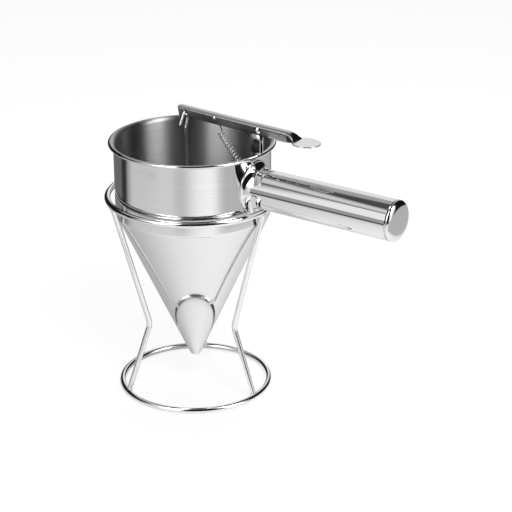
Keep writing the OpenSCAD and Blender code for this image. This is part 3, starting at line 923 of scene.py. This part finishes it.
@dataclass
class Post(Part):
    """Bellied post that carries the lever, with its foot strip on the drum wall, in millimetres."""

    width: float = 4.2
    corner: float = 0.9
    belly: Flat = (73.8, 199.148)
    belly_r: float = 22.0
    wall_r: float = 55.4
    rim_top: float = 191.548
    foot_z: float = 163.05
    foot_w: float = 10.0
    strip_top: float = 189.15
    ear_out: float = 1.4
    ear_r: float = 1.85
    back_gap: float = 0.06
    rim_gap: float = 0.01
    strip_gap: float = 0.02
    flat: float = 0.5
    least_depth: float = 0.1
    least_corner: float = 0.05
    strip_rows: int = 12
    strip_columns: int = 25
    low_steps: int = 20
    top_steps: int = 24
    ear_steps: int = 32
    sharp: float = 40.0

    def section(self, z: float) -> list[Point]:
        """Lists the channel's outline at one height: the outside, then back along the inside.

        Args:
            z: The height.

        Returns:
            Points in metres.
        """
        back = self.pivot[0] + self.ear_out if z >= self.rim_top else self.wall_r - self.back_gap
        belly = self.belly[0] - sqrt(self.belly_r**2 - (z - self.belly[1]) ** 2)
        front = min(belly, back - self.sheet - self.least_depth)
        lines = []
        for inset in (0.0, self.sheet):
            half, near = self.width / 2 - inset, front + inset
            c = max(self.corner - inset, self.least_corner)
            run = [(back, -half), (max(back - self.flat, near + c), -half)]
            for a in (radians(a) for a in range(0, 91, 15)):
                run.append((near + c - c * sin(a), -half + c - c * cos(a)))
            lines.append(run + [(near, 0.0)] + [(x, -y) for x, y in reversed(run)])
        return [(x * MM, y * MM, z * MM) for x, y in lines[0] + lines[1][::-1]]

    def build(self) -> None:
        """Makes the post in place of its CAD node."""
        low = self.belly[1] - sqrt(self.belly_r**2 - (self.belly[0] - self.wall_r + self.sheet) ** 2)
        step, rise = (self.rim_top - self.rim_gap - low) / self.low_steps, self.pivot[1] - self.rim_top
        heights = [low + step * k for k in range(self.low_steps + 1)]
        heights += [self.rim_top + rise * k / self.top_steps for k in range(self.top_steps + 1)]
        points = [point for z in heights for point in self.section(z)]
        columns = len(points) // len(heights)
        faces = grid_faces(len(heights), columns, True)
        for first in (0, len(points) - columns):
            far = first + columns - 1
            faces += [(first + i, first + i + 1, far - 1 - i, far - i) for i in range(columns // 2 - 1)]
        self.add_strip(points, faces)
        for side in (-1, 1):
            self.add_ear(points, faces, side)
        piece = make_piece("FulcrumPost", points, faces, self.coat(Coat.POST), self.sharp)
        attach(piece, Body.FUNNEL.value)
        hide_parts("fulcrum_post")
        self.report(piece)

    def add_strip(self, points: list[Point], faces: Faces) -> None:
        """Adds the strip on the drum wall, with its round lower end.

        Args:
            points: The post's points.
            faces: The post's faces.
        """
        first, columns, rows, half = len(points), self.strip_columns, self.strip_rows, self.foot_w / 2
        for layer in (self.wall_r - self.sheet, self.wall_r - self.strip_gap):
            for r in range(rows):
                for c in range(columns):
                    y = -half * cos(pi * c / (columns - 1))
                    low = self.foot_z + half - sqrt(max(half**2 - y**2, 0.0))
                    z = low + (self.strip_top - low) * r / (rows - 1)
                    points.append((sqrt(layer**2 - y**2) * MM, y * MM, z * MM))
        shift = rows * columns
        faces += grid_faces(rows, columns, False, first)
        faces += [face[::-1] for face in grid_faces(rows, columns, False, first + shift)]
        border = [*range(columns), *(r * columns + columns - 1 for r in range(1, rows))]
        border += [(rows - 1) * columns + c for c in range(columns - 2, -1, -1)]
        border += [r * columns for r in range(rows - 2, 0, -1)]
        for a, b in zip(border, border[1:] + border[:1]):
            faces.append((first + b, first + a, first + shift + a, first + shift + b))

    def add_ear(self, points: list[Point], faces: Faces, side: int) -> None:
        """Adds the round ear on one side of the post, round the pivot.

        Args:
            points: The post's points.
            faces: The post's faces.
            side: -1 or 1.
        """
        first, steps = len(points), self.ear_steps
        for y in (side * self.width / 2, side * (self.width / 2 - self.sheet)):
            for a in full_turn(steps):
                x, z = self.pivot[0] + self.ear_r * cos(a), self.pivot[1] + self.ear_r * sin(a)
                points.append((x * MM, y * MM, z * MM))
        faces += grid_faces(2, steps, True, first) + end_faces(first, steps, 2)


@dataclass
class Flange(Part):
    """Drawn flange between the drum and the handle tube, with a rounded border, in millimetres."""

    seat: float = 0.02
    tube_t: float = 1.0
    side: float = 2.9
    rise: float = 5.3
    start_x: float = 63.2
    border: float = 0.12
    round_steps: int = 144
    flare_steps: int = 24
    sharp: float = 50.0

    def point(self, turn: float, flare: float, base_r: float, neck_r: float) -> Point:
        """Gives a point of the flange.

        Args:
            turn: Angle round the tube, in radians.
            flare: 0 at the border and a quarter turn at the neck, in radians.
            base_r: Radius of the drum surface that the border follows.
            neck_r: Radius at the neck.

        Returns:
            The point in metres.
        """
        half_y, half_z = self.tube_r + self.side, self.tube_r + self.rise
        border = half_y * half_z / hypot(half_z * cos(turn), half_y * sin(turn))
        reach = neck_r + (border - neck_r) * (1 - sin(flare))
        y = reach * cos(turn)
        wall_x = sqrt(base_r * base_r - y * y)
        x = wall_x + (self.start_x - wall_x) * (1 - cos(flare))
        return (x * MM, y * MM, (self.tube_z + reach * sin(turn)) * MM)

    def build(self) -> None:
        """Makes the flange as a closed shell, in place of its CAD node."""
        steps, turns = self.round_steps, full_turn(self.round_steps)
        flares = [pi / 2 * k / self.flare_steps for k in range(self.flare_steps + 1)]
        face_r, back_r, bore = self.drum_r + self.sheet, self.drum_r + self.seat, self.tube_r - self.tube_t
        points = [self.point(a, flare, face_r, self.tube_r) for flare in reversed(flares) for a in turns]
        for lean in (radians(90 * k / 4) for k in range(1, 4)):
            drop = face_r - self.sheet / 2 * (1 - cos(lean))
            grow = self.border * sin(lean) * MM
            for a in turns:
                x, y, z = self.point(a, 0.0, drop, self.tube_r)
                points.append((x, y + grow * cos(a), z + grow * sin(a)))
        points += [self.point(a, flare, back_r, bore) for flare in flares for a in turns]
        last = len(points) - steps
        faces = grid_faces(len(points) // steps, steps, True)
        faces += [(last + i, last + (i + 1) % steps, (i + 1) % steps, i) for i in range(steps)]
        piece = make_piece("FlangeShell", points, faces, self.coat(Coat.FLANGE), self.sharp)
        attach(piece, Body.FUNNEL.value)
        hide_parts("handle_flange")
        self.report(piece)


@dataclass
class Lever(Part):
    """Pressed channel lever with a rounded end and a thumb plate, in millimetres from its pivot."""

    tilt: float = 1.7
    width: float = 6.8
    height: float = 6.8
    crown_r: float = 1.9
    crown_swell: float = 1.3
    crown_fade: Flat = (1.9, 6.0)
    least: float = 0.02
    least_flank: float = 0.05
    lip: float = 0.16
    lip_points: int = 4
    edge: float = 3.0
    nose_u: float = -67.7274
    nose_l: float = 5.0
    rake: float = 1.6
    channel_past: float = 22.0
    end_u: float = 31.5
    neck_w: float = 12.4
    fall: float = 2.8
    spread: float = 2.05
    dip: float = 0.6
    dip_past: float = 20.0
    dip_r: float = 27.0
    thumb_d: float = 20.0
    thumb_reach: float = 38.4
    thumb_up: float = 1.1
    thumb_lip: float = 0.2
    thumb_rim: float = 1.5
    lip_bend: float = 0.3
    nose_stops: tuple[float, ...] = (0.0, 0.15, 0.6, 2.0, 5.0)
    nose_pinches: tuple[float, ...] = (0.012, 0.003)
    channel_steps: int = 44
    end_steps: int = 22
    bore_sides: int = 48
    plate_sides: int = 96
    hook_hole: Point = (-62.3274, -0.1, 2.4)
    pivot_hole: Point = (0.0, 0.0, 1.25)
    sharp: float = 40.0
    plate_sharp: float = 50.0

    def place(self, u: float, y: float, v: float) -> Point:
        """Puts a point of the lever in the object's frame, in metres."""
        c, s = cos(radians(self.tilt)), sin(radians(self.tilt))
        return ((self.pivot[0] + u * c + v * s) * MM, y * MM, (self.pivot[1] - u * s + v * c) * MM)

    def lower_edge(self, u: float) -> float:
        """Gives the height of the flanks' lower edge: straight, with a dip past the pivot.

        Args:
            u: Place along the lever.

        Returns:
            The height.
        """
        out = u - self.dip_past
        if abs(out) >= self.dip_r:
            return -self.edge
        dip = -self.edge - self.dip + self.dip_r - sqrt(self.dip_r**2 - out**2)
        return min(dip, -self.edge if out < 0 else self.thumb_up - self.edge)

    def arch(self, half: float, top: float, corner: float, foot: float) -> list[Flat]:
        """Lists a round-cornered arch from its left foot to its right foot.

        Args:
            half: Half its width.
            top: Height of its top.
            corner: Corner radius.
            foot: Height of its feet.

        Returns:
            Points as (y, v).
        """
        c = max(min(corner, top - foot - self.least, half - self.least), self.least)
        left = [(-half, foot + (top - c - foot) * k / 6) for k in range(7)]
        for a in (radians(a) for a in range(9, 91, 9)):
            left.append((-half + c - c * cos(a), top - c + c * sin(a)))
        left += [((-half + c) * (1 - k / 3), top) for k in range(1, 3)]
        return left + [(0.0, top)] + [(-y, v) for y, v in reversed(left)]

    def station(self, u: float) -> list[Flat]:
        """Lists the cross-section, once round the sheet from the left lower edge over the crown.

        Past the channel the crown falls and the flanks spread to the thumb plate.

        Args:
            u: Place along the lever.

        Returns:
            Points as (y, v).
        """
        crown = self.height - self.edge
        share = max(0.0, (u - self.channel_past) / (self.end_u - self.channel_past))
        top = crown - (crown - (self.thumb_up - self.edge + self.sheet)) * share**self.fall
        half = self.width / 2 + (self.neck_w - self.width) / 2 * share**self.spread
        corner = self.crown_r + self.crown_swell * share - self.crown_fade[0] * share ** self.crown_fade[1]
        low, lip, sheet, bend = self.lower_edge(u), self.lip, self.sheet, self.lip_bend * self.lip
        under = max(top - sheet, low + self.least_flank)
        outer = self.arch(half, top, corner, low + lip)
        inner = self.arch(half - sheet, under, corner - sheet, min(low + lip, under - self.least))
        right = [(half - bend, low + bend), (half - lip, low), (half - sheet + lip, low)]
        right.append((half - sheet + bend, low + bend))
        return outer + right + inner[::-1] + [(-y, v) for y, v in reversed(right)]

    def build(self) -> None:
        """Makes the lever with its holes and its plate, in place of its CAD node."""
        nose, past = self.nose_u + self.nose_l, self.channel_past
        stops = [self.nose_u + d for d in self.nose_stops]
        stops += [nose + k * (past - nose) / self.channel_steps for k in range(1, self.channel_steps + 1)]
        stops += [past + k * (self.end_u - past) / self.end_steps for k in range(1, self.end_steps + 1)]
        pinches = self.nose_pinches + (0.0,) * len(stops)
        points = []
        for u, pinch in zip(stops, pinches):
            near = 1 - min(1.0, (u - self.nose_u) / self.nose_l)
            for y, v in self.station(u):
                shear = self.rake * (v + self.edge) / self.height * near
                points.append(self.place(u - shear, y * (1 - pinch), v))
        columns, lip = len(points) // len(stops), self.lip_points
        half = columns // 2 - lip
        faces = grid_faces(len(stops), columns, True)
        for first in (0, len(points) - columns):
            far = first + 2 * half + lip - 1
            faces += [(first + i, first + i + 1, far - 1 - i, far - i) for i in range(half - 1)]
            faces.append(tuple(first + i for i in range(half - 1, half + lip + 1)))
            faces.append(tuple(first + i % columns for i in range(columns - lip - 1, columns + 1)))
        piece = make_piece("LeverShell", points, faces, self.coat(Coat.LEVER), self.sharp)
        self.bore(piece, "HookHole", *self.hook_hole)
        self.bore(piece, "PivotHole", *self.pivot_hole)
        self.add_plate(piece, self.coat(Coat.THUMB))
        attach(piece, Body.LEVER.value)
        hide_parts("lever")
        self.report(piece)

    def bore(self, piece: Object, label: str, u: float, v: float, r: float) -> None:
        """Cuts a hole across both flanks.

        Args:
            piece: The lever.
            label: Name of the cutter.
            u: Place of the hole along the lever.
            v: Height of the hole.
            r: Its radius.
        """
        sides, finish = self.bore_sides, piece.data.materials[0]
        points = [
            self.place(u + r * cos(a), y, v + r * sin(a))
            for y in (-self.width, self.width)
            for a in full_turn(sides)
        ]
        faces = grid_faces(2, sides, True) + end_faces(0, sides, 2)
        cutter = make_piece(label, points, faces, finish, self.sharp)
        cut = piece.modifiers.new("Bore", "BOOLEAN")
        cut.operation = "DIFFERENCE"
        cut.solver = "EXACT"
        cut.object = cutter
        settle(piece, cut)
        bpy.data.objects.remove(cutter)
        finish_mesh(piece.data, self.sharp)

    def add_plate(self, piece: Object, finish: Material) -> None:
        """Adds the round thumb plate, with a rounded edge, to the lever's mesh.

        Args:
            piece: The lever.
            finish: The plate's finish.
        """
        r, lip, bend, sides = self.thumb_d / 2, self.thumb_lip, self.lip_bend * self.thumb_lip, self.plate_sides
        middle, low = r - self.thumb_rim, self.thumb_up - self.edge
        high = low + self.sheet
        rows = [(middle, low), (r - lip, low), (r - bend, low + bend), (r, low + lip)]
        rows += [(r, high - lip), (r - bend, high - bend), (r - lip, high), (middle, high)]
        points = [
            self.place(self.thumb_reach + out * cos(a), out * sin(a), v)
            for out, v in rows
            for a in full_turn(sides)
        ]
        faces = grid_faces(len(rows), sides, True) + end_faces(0, sides, len(rows))
        plate = make_piece("ThumbPlate", points, faces, finish, self.plate_sharp)
        plate.data.polygons.foreach_set("material_index", [1] * len(plate.data.polygons))
        piece.data.materials.append(finish)
        whole = bmesh.new()
        whole.from_mesh(piece.data)
        whole.from_mesh(plate.data)
        whole.to_mesh(piece.data)
        whole.free()
        bpy.data.objects.remove(plate)


@dataclass
class ReturnSpring(Part):
    """Tension spring from the pin in the lever down to the eye on the drum wall, in millimetres."""

    pin: Flat = (22.0518, 211.443)
    eye: Flat = (52.43, 168.548)
    first_turn: Flat = (25.05, 201.14)
    coil_r: float = 2.25
    wire_r: float = 0.42
    wire_sides: int = 12
    pitch: float = 2.3
    hook_r: float = 1.05
    pin_r: float = 0.6
    play: float = 0.08
    lead: float = 4.0
    lead_end: float = 0.7
    hook_from: float = 140.0
    hook_turn: float = 270.0
    turn_steps: int = 24
    hook_steps: int = 16

    def hook(self, centre: Vector, way: Vector, hand: int) -> list[Point]:
        """Lists the points of a hook.

        Args:
            centre: Its centre.
            way: Unit direction from the hook to the coil.
            hand: 1 or -1, the side to which it opens.

        Returns:
            Points in millimetres.
        """
        across, line = Vector((-way.y, way.x)) * hand, []
        for k in range(self.hook_steps + 1):
            a = radians(self.hook_from - self.hook_turn * k / self.hook_steps)
            c = centre + self.hook_r * (sin(a) * across - cos(a) * way)
            line.append((c.x, 0.0, c.y))
        return line

    def path(self) -> list[Point]:
        """Lists the points of the wire's centre: hook, shank, coil, lead and hook.

        Returns:
            Points in metres.
        """
        pin, eye, first = Vector(self.pin), Vector(self.eye), Vector(self.first_turn)
        shank, axis = (first - pin).normalized(), (eye - first).normalized()
        side = Vector((-axis.y, axis.x))
        pull = self.hook_r - self.wire_r - self.pin_r - self.play
        low_hook = eye - axis * pull
        line = self.hook(pin + shank * pull, shank, 1)
        length = (low_hook - first).length - self.hook_r - self.lead
        turns = round(length / self.pitch)
        steps = turns * self.turn_steps
        for i in range(steps + 1):
            a = 2 * pi * turns * i / steps
            r = self.coil_r * min(1.0, (steps - i + 1) / (self.turn_steps / 2))
            c = first + axis * (length * i / steps) + side * (r * cos(a))
            line.append((c.x, -r * sin(a), c.y))
        end = first + axis * (length + self.lead - self.lead_end)
        line.append((end.x, 0.0, end.y))
        line += reversed(self.hook(low_hook, -axis, -1))
        return [(x * MM, y * MM, z * MM) for x, y, z in line]

    def build(self) -> None:
        """Makes the spring, which stretches between the funnel and the lever."""
        points, finish = self.path(), self.coat(Coat.SPRING)
        piece = path_piece("ReturnSpringCoil", [points])
        size = {"Wire_Radius": self.wire_r * MM, "Sides": self.wire_sides}
        run_tree(piece, self.tools.wire, **size, Finish=finish)
        tuple(points[-1])
        tuple(points[0])
        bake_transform(piece)
        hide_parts("return_spring")
        self.report(piece)


@dataclass
class Welds(Part):
    """Weld metal where the legs meet the two rings, in millimetres."""

    wire_r: float = 2.2
    leg_r: float = 2.05
    rings: tuple[Flat, Flat] = ((61.7, 149.0), (53.8, 2.2))
    waist: Flat = (35.8, 53.4)
    legs: int = 3
    seam_steps: int = 28
    proud: float = 0.1
    drop: float = 0.55
    unevenness: float = 0.25

    def seam(self, at: Flat, turn: float) -> list[Point]:
        """Lists the closed line along which a leg's end meets its ring.

        Args:
            at: Where the leg's axis meets the ring's wire, as (radius, height).
            turn: The leg's angle round the stand, in radians.

        Returns:
            Points in metres.
        """
        gap = hypot(self.waist[0] - at[0], self.waist[1] - at[1])
        way = ((self.waist[0] - at[0]) / gap, (self.waist[1] - at[1]) / gap)
        line = []
        for a in full_turn(self.seam_steps):
            y, off = self.leg_r * cos(a), self.leg_r * sin(a)
            reach = sqrt(max(self.wire_r**2 - off**2, 0.0)) + self.proud
            r = at[0] + way[0] * reach - way[1] * off
            z = at[1] + way[1] * reach + way[0] * off
            x, y = r * cos(turn) - y * sin(turn), r * sin(turn) + y * cos(turn)
            line.append((x * MM, y * MM, z * MM))
        return line

    def build(self) -> None:
        """Makes the welds of all legs as one piece on the stand."""
        runs = [self.seam(ring, a) for ring in self.rings for a in full_turn(self.legs)]
        piece = path_piece("LegWelds", runs, closed=True)
        size = {"Drop_Radius": self.drop * MM, "Spacing": self.drop * MM, "Unevenness": self.unevenness}
        run_tree(piece, self.tools.bead, **size, Finish=self.coat(Coat.WIRE))
        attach(piece, Body.STAND.value)
        self.report(piece)


# ---- studio


@dataclass(frozen=True)
class Patch:
    """Part of the tent that is lighter or darker than the rest, in degrees as seen from the object.

    Attributes:
        middle: Azimuth of its middle, from the front towards the handle.
        half_width: Half its width.
        low: Elevation of its lower edge.
        high: Elevation of its upper edge.
        level: Its brightness, where 1 is the white of the backdrop.
        soft: Width of its soft edge.
    """

    middle: float
    half_width: float
    low: float
    high: float
    level: float
    soft: float

    def paint(self, group: Tree, before: Value, azimuth: Value, elevation: Value) -> Value:
        """Paints the patch on a brightness.

        Args:
            group: The TentPatch group.
            before: The brightness so far.
            azimuth: Azimuth in degrees.
            elevation: Elevation in degrees, or on the floor the distance in centimetres.

        Returns:
            The brightness with the patch.
        """
        window = {key.title(): value for key, value in vars(self).items()}
        graph = Graph(before.socket.id_data)
        return graph.place(group, Before=before, Azimuth=azimuth, Elevation=elevation, **window)["Level"]


def patch_group() -> Tree:
    """Builds the group that paints one patch on the tent's brightness.

    Returns:
        A group that mixes a level into the brightness inside a window of two angles.
    """
    labels = ("Before", "Azimuth", "Elevation", "Middle", "Half Width", "Low", "High", "Level", "Soft")
    sockets = {label: ("Float", 0.0) for label in labels}
    graph, start = Graph.group("TentPatch", sockets, {"Level": "Float"})
    turn = (start["Azimuth"] - start["Middle"]).math("WRAP", -180.0, 180.0).math("ABSOLUTE")
    mask = None
    for edge in (
        start["Half Width"] - turn,
        start["Elevation"] - start["Low"],
        start["High"] - start["Elevation"],
    ):
        share = (edge / start["Soft"] + 0.5).ramp(0.0, 1.0)
        mask = mask * share if mask else share
    return graph.give(Level=start["Before"] + (start["Level"] - start["Before"]) * mask)


@dataclass
class Studio:
    """Pale floor, white surroundings, soft lamps, a tent that only reflections see, and the camera.

    The floor's painted band of light and shade, which only reflections see, and the tent band are pairs of
    azimuth in degrees and brightness. A lamp is given by its name, its place, its size and its power.
    """

    floor_half: float = 3.0
    floor_shade: float = 0.3
    floor_white: float = 1.05
    paper_white: float = 0.9
    paper_rough: float = 0.9
    near_r: float = 0.35
    far_r: float = 0.44
    # Painted pool of light on the floor, brighter towards the key lamp's azimuth, which only reflections see.
    spill_turn: float = 70.0
    spill_range: float = 0.33
    spill_level: float = 0.85
    camera_at: Point = (0.6644, -0.8596, 0.5484)
    camera_way: Point = (-0.5343, 0.7545, -0.3811)
    lens: float = 112.53
    sensor: float = 36.0
    clip: Flat = (0.01, 20.0)
    fill: float = 0.6
    tent_r: float = 1.3
    tent_wall: float = 1.2
    tent_top: float = 2.4
    tent_sides: int = 64
    eye_z: float = 0.15
    card_r: float = 0.2
    card_z: float = 0.001
    card_h: float = 0.015
    card_black: float = 0.01
    card_from: float = 14.0
    card_to: float = 62.0
    card_steps: int = 12
    lamp_aim: Point = (0.0, 0.0, 0.12)
    lamp_set: tuple[tuple[str, Point, float, float], ...] = (
        ("KeyLamp", (0.9, -0.5, 1.1), 0.7, 9.0),
        ("TopLamp", (-0.2, 0.4, 1.3), 0.9, 5.0),
    )
    patch_tree: Tree = field(default_factory=patch_group)
    # Painted light and shade on the floor by azimuth, which only reflections see: bright on the key lamp's
    # side, dark bands for shade and dark surroundings.
    floor_band: tuple[Flat, ...] = (
        *((-180, 0.5), (-160, 0.2), (-140, 0.16), (-86, 0.17), (-80, 0.04), (-72, 0.05), (-66, 0.4)),
        *((-56, 0.72), (0, 0.8), (8, 0.77), (16, 0.66), (24, 0.65), (30, 0.76), (36, 0.9), (43, 1.02)),
        *((50, 1.12), (58, 1.18), (63, 1.16), (68, 1.02), (73, 0.82), (78, 0.66), (84, 0.57)),
        *((155, 0.56), (180, 0.5)),
    )
    tent_band: tuple[Flat, ...] = (
        *((-180, 0.01), (-168, 0.2), (-160, 0.95), (-140, 0.95), (-133, 0.08), (-122, 0.01), (-44, 0.01)),
        *((-36, 0.7), (-31, 1.08), (-8, 1.12), (6, 0.8), (20, 0.01), (78, 0.01), (84, 1.2), (106, 1.2)),
        *((116, 0.4), (124, 0.01), (180, 0.01)),
    )
    # Painted dark patch on the far floor, which only reflections see.
    far_floor: Patch = Patch(-33.0, 19.0, 61.0, 400.0, 0.1, 6.0)
    patches: tuple[Patch, ...] = (
        Patch(0.0, 190.0, 64.0, 95.0, 0.13, 12.0),
        Patch(-3.0, 16.0, 15.0, 62.0, 4.6, 8.0),
        Patch(97.0, 15.0, 15.0, 62.0, 5.0, 8.0),
        Patch(-110.0, 48.0, 38.0, 60.0, 0.45, 6.0),
        Patch(-105.0, 14.0, 50.0, 62.0, 0.18, 6.0),
        Patch(-48.0, 20.0, 42.0, 46.0, 0.15, 3.0),
        Patch(-60.0, 26.0, 47.0, 60.0, 0.8, 8.0),
        Patch(-29.0, 15.0, -8.0, 10.0, 0.42, 4.0),
    )

    def build(self) -> None:
        """Makes everything that isn't part of the object."""
        self.floor()
        self.surroundings()
        self.lamps()
        self.tent()
        self.card()
        self.camera()
        bpy.context.scene.view_settings.view_transform = "Standard"

    @staticmethod
    def polar(graph: Graph) -> tuple[Value, Value, Value]:
        """Adds the nodes for a point's place about the hopper's axis.

        Args:
            graph: The material's tree.

        Returns:
            Azimuth in degrees from the front towards the handle, distance from the axis, height.
        """
        axes = graph.node("ShaderNodeSeparateXYZ", {0: graph.add("ShaderNodeTexCoord", out="Object")})
        x, y, z = (Value(socket) for socket in axes.outputs)
        return x.math("ARCTAN2", y * -1.0).math("DEGREES"), (x * x + y * y).math("SQRT"), z

    @staticmethod
    def round_band(graph: Graph, azimuth: Value, levels: tuple[Flat, ...]) -> Value:
        """Adds a brightness that depends on the azimuth alone.

        Args:
            graph: The material's tree.
            azimuth: Azimuth in degrees.
            levels: Pairs of azimuth and brightness, from -180 to 180 degrees.

        Returns:
            The brightness.
        """
        band = graph.node("ShaderNodeValToRGB", {"Fac": azimuth / 360.0 + 0.5})
        stops = band.color_ramp.elements
        while len(stops) < len(levels):
            stops.new(0.5)
        for stop, (angle, level) in zip(stops, levels):
            stop.position = angle / 360.0 + 0.5
            stop.color = (level / 2, level / 2, level / 2, 1.0)
        return Value(band.outputs["Color"]) * 2.0

    @staticmethod
    def round_points(r: float, z: float, angles: list[float]) -> list[Point]:
        """Lists points on a circle about the hopper's axis, by azimuth in radians."""
        return [(r * sin(a), -r * cos(a), z) for a in angles]

    @staticmethod
    def stage(piece: Object, reflected_only: bool) -> None:
        """Hides a piece from every ray but reflections, when only reflections are to see it.

        Args:
            piece: The piece.
            reflected_only: Whether only reflections see it.
        """
        if reflected_only:
            for ray in ("camera", "diffuse", "transmission", "shadow"):
                setattr(piece, "visible_" + ray, False)

    def floor(self) -> None:
        """Makes the pale floor: white paper that keeps a soft shadow, with painted light and shade by azimuth
        where reflections see it.
        """
        made, graph, shader = new_material("FloorPaper")
        rays = graph.node("ShaderNodeLightPath").outputs
        azimuth, out, _ = self.polar(graph)
        # Painted light for reflections: a pool of light near the axis, and the painted band of light and shade
        # farther out.
        spill = (azimuth - self.spill_turn).math("RADIANS").math("COSINE") * self.spill_range + self.spill_level
        band = self.round_band(graph, azimuth, self.floor_band)
        band = self.far_floor.paint(self.patch_tree, band, azimuth, out * 100.0)
        level = spill + (band - spill) * out.ramp(self.near_r, self.far_r)
        mirrored = Value(rays["Is Glossy Ray"]).math("MAXIMUM", Value(rays["Is Transmission Ray"]))
        share = (level - 1.0) * mirrored + 1.0
        seen = Value(rays["Is Camera Ray"]).math("MAXIMUM", mirrored)
        paper = {
            "Factor": share,
            "A": (0.0, 0.0, 0.0, 1.0),
            "B": (*(self.paper_white * self.floor_shade for _ in range(3)), 1.0),
        }
        for label, value in {
            "Roughness": self.paper_rough,
            "Specular IOR Level": 0.0,
            "Emission Color": WHITE,
            "Emission Strength": seen * (self.floor_white - self.floor_shade) * share,
            "Base Color": graph.add("ShaderNodeMix", paper, out="Result", data_type="RGBA"),
        }.items():
            graph.feed(shader[label], value)
        h = self.floor_half
        corners = [(-h, -h, 0), (h, -h, 0), (h, h, 0), (-h, h, 0)]
        self.stage(new_object("StudioFloor", corners, [], [(0, 1, 2, 3)], made), False)

    def card(self) -> None:
        """Makes the low black card, which only reflections see, that paints the dark reflected line on the wire
        legs.
        """
        made, _, shader = new_material("BlackCardPaper")
        shader["Base Color"].default_value = (*(self.card_black for _ in range(3)), 1.0)
        shader["Roughness"].default_value = self.paper_rough
        span, steps = self.card_to - self.card_from, self.card_steps
        angles = [radians(self.card_from + span * i / steps) for i in range(steps + 1)]
        rows = [self.round_points(self.card_r, z, angles) for z in (self.card_z, self.card_h)]
        faces = grid_faces(2, len(angles), False)
        self.stage(new_object("BlackCard", rows[0] + rows[1], [], faces, made), True)

    def surroundings(self) -> None:
        """Makes the world: white where the camera or glass sees it, and a plain fill light."""
        world = bpy.data.worlds.new("StudioWhite")
        bpy.context.scene.world = world
        world.use_nodes = True
        graph, back = Graph(world.node_tree), world.node_tree.nodes["Background"].inputs
        rays = graph.node("ShaderNodeLightPath").outputs
        seen = Value(rays["Is Camera Ray"]).math("MAXIMUM", Value(rays["Is Transmission Ray"]))
        back["Color"].default_value = WHITE
        graph.feed(back["Strength"], seen.ramp(0.0, 1.0, self.fill, 1.0))

    def tent(self) -> None:
        """Makes the tent: a wall with a dome whose soft patches are what the steel reflects."""
        rise, sides = self.tent_top - self.tent_wall, self.tent_sides
        rows = [(self.tent_r, self.tent_wall * k / 4) for k in range(5)]
        for a in (radians(a) for a in range(10, 90, 10)):
            rows.append((self.tent_r * cos(a), self.tent_wall + rise * sin(a)))
        points = [point for r, z in rows for point in self.round_points(r, z, full_turn(sides))]
        last = len(points) - sides
        points.append((0.0, 0.0, self.tent_top))
        faces = [face[::-1] for face in grid_faces(len(rows), sides, True)]
        faces += [(last + (i + 1) % sides, last + i, len(points) - 1) for i in range(sides)]
        self.stage(new_object("ReflectionTent", points, [], faces, self.tent_cloth()), True)

    def tent_cloth(self) -> Material:
        """Builds the tent's emission: a level for each azimuth, and the patches on it.

        Returns:
            The material.
        """
        made = bpy.data.materials.new("TentCloth")
        made.use_nodes = True
        made.node_tree.nodes.clear()
        graph = Graph(made.node_tree)
        azimuth, out, z = self.polar(graph)
        rise = (z - self.eye_z).math("ARCTAN2", out).math("DEGREES")
        level = self.round_band(graph, azimuth, self.tent_band)
        for patch in self.patches:
            level = patch.paint(self.patch_tree, level, azimuth, rise)
        glow = graph.add("ShaderNodeEmission", {"Strength": level})
        graph.node("ShaderNodeOutputMaterial", {"Surface": glow})
        return made

    @staticmethod
    def aim(thing: Object, at: Point, way: Vector) -> None:
        """Puts a lamp or the camera in its place.

        Args:
            thing: The lamp or the camera.
            at: Its place.
            way: The direction in which it looks.
        """
        thing.location = at
        thing.rotation_mode = "QUATERNION"
        thing.rotation_quaternion = way.to_track_quat("-Z", "Y")
        bpy.context.scene.collection.objects.link(thing)

    def lamps(self) -> None:
        """Makes two soft area lamps, which the steel doesn't mirror."""
        for name, at, size, power in self.lamp_set:
            data = bpy.data.lights.new(name, "AREA")
            data.shape, data.size, data.energy = "SQUARE", size, power
            lamp = bpy.data.objects.new(name, data)
            lamp.visible_glossy = False
            self.aim(lamp, at, Vector(self.lamp_aim) - Vector(at))

    def camera(self) -> None:
        """Makes the camera and sets it as the scene's."""
        data = bpy.data.cameras.new("Camera")
        data.lens, data.sensor_width, data.sensor_fit = self.lens, self.sensor, "HORIZONTAL"
        data.clip_start, data.clip_end = self.clip
        camera = bpy.data.objects.new("Camera", data)
        self.aim(camera, self.camera_at, Vector(self.camera_way))
        bpy.context.scene.camera = camera


def main() -> None:
    """Builds the studio and the pieces in order."""
    logging.basicConfig(level=logging.INFO, format="%(name)s: %(message)s")
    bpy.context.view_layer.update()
    tools = Tools()
    Studio().build()
    wires = ("base_ring", "top_ring", "leg_handle_side", "leg_rear", "leg_front", "spring_eye")
    tools.finishes.dress(Coat.WIRE, *wires)
    tools.finishes.dress(Coat.TURNED, "outlet_tip", "valve_plug")
    tools.finishes.dress(Coat.HANDLE, "handle_tube")
    tools.finishes.dress(Coat.ROD, "valve_rod")
    tools.finishes.dress(Coat.RIVET, "pivot_rivet", "spring_pin")
    for part in (Hopper, EndCap, Post, Flange, Lever, ReturnSpring, Welds):
        part(tools).build()


if __name__ == "__main__":
    main()
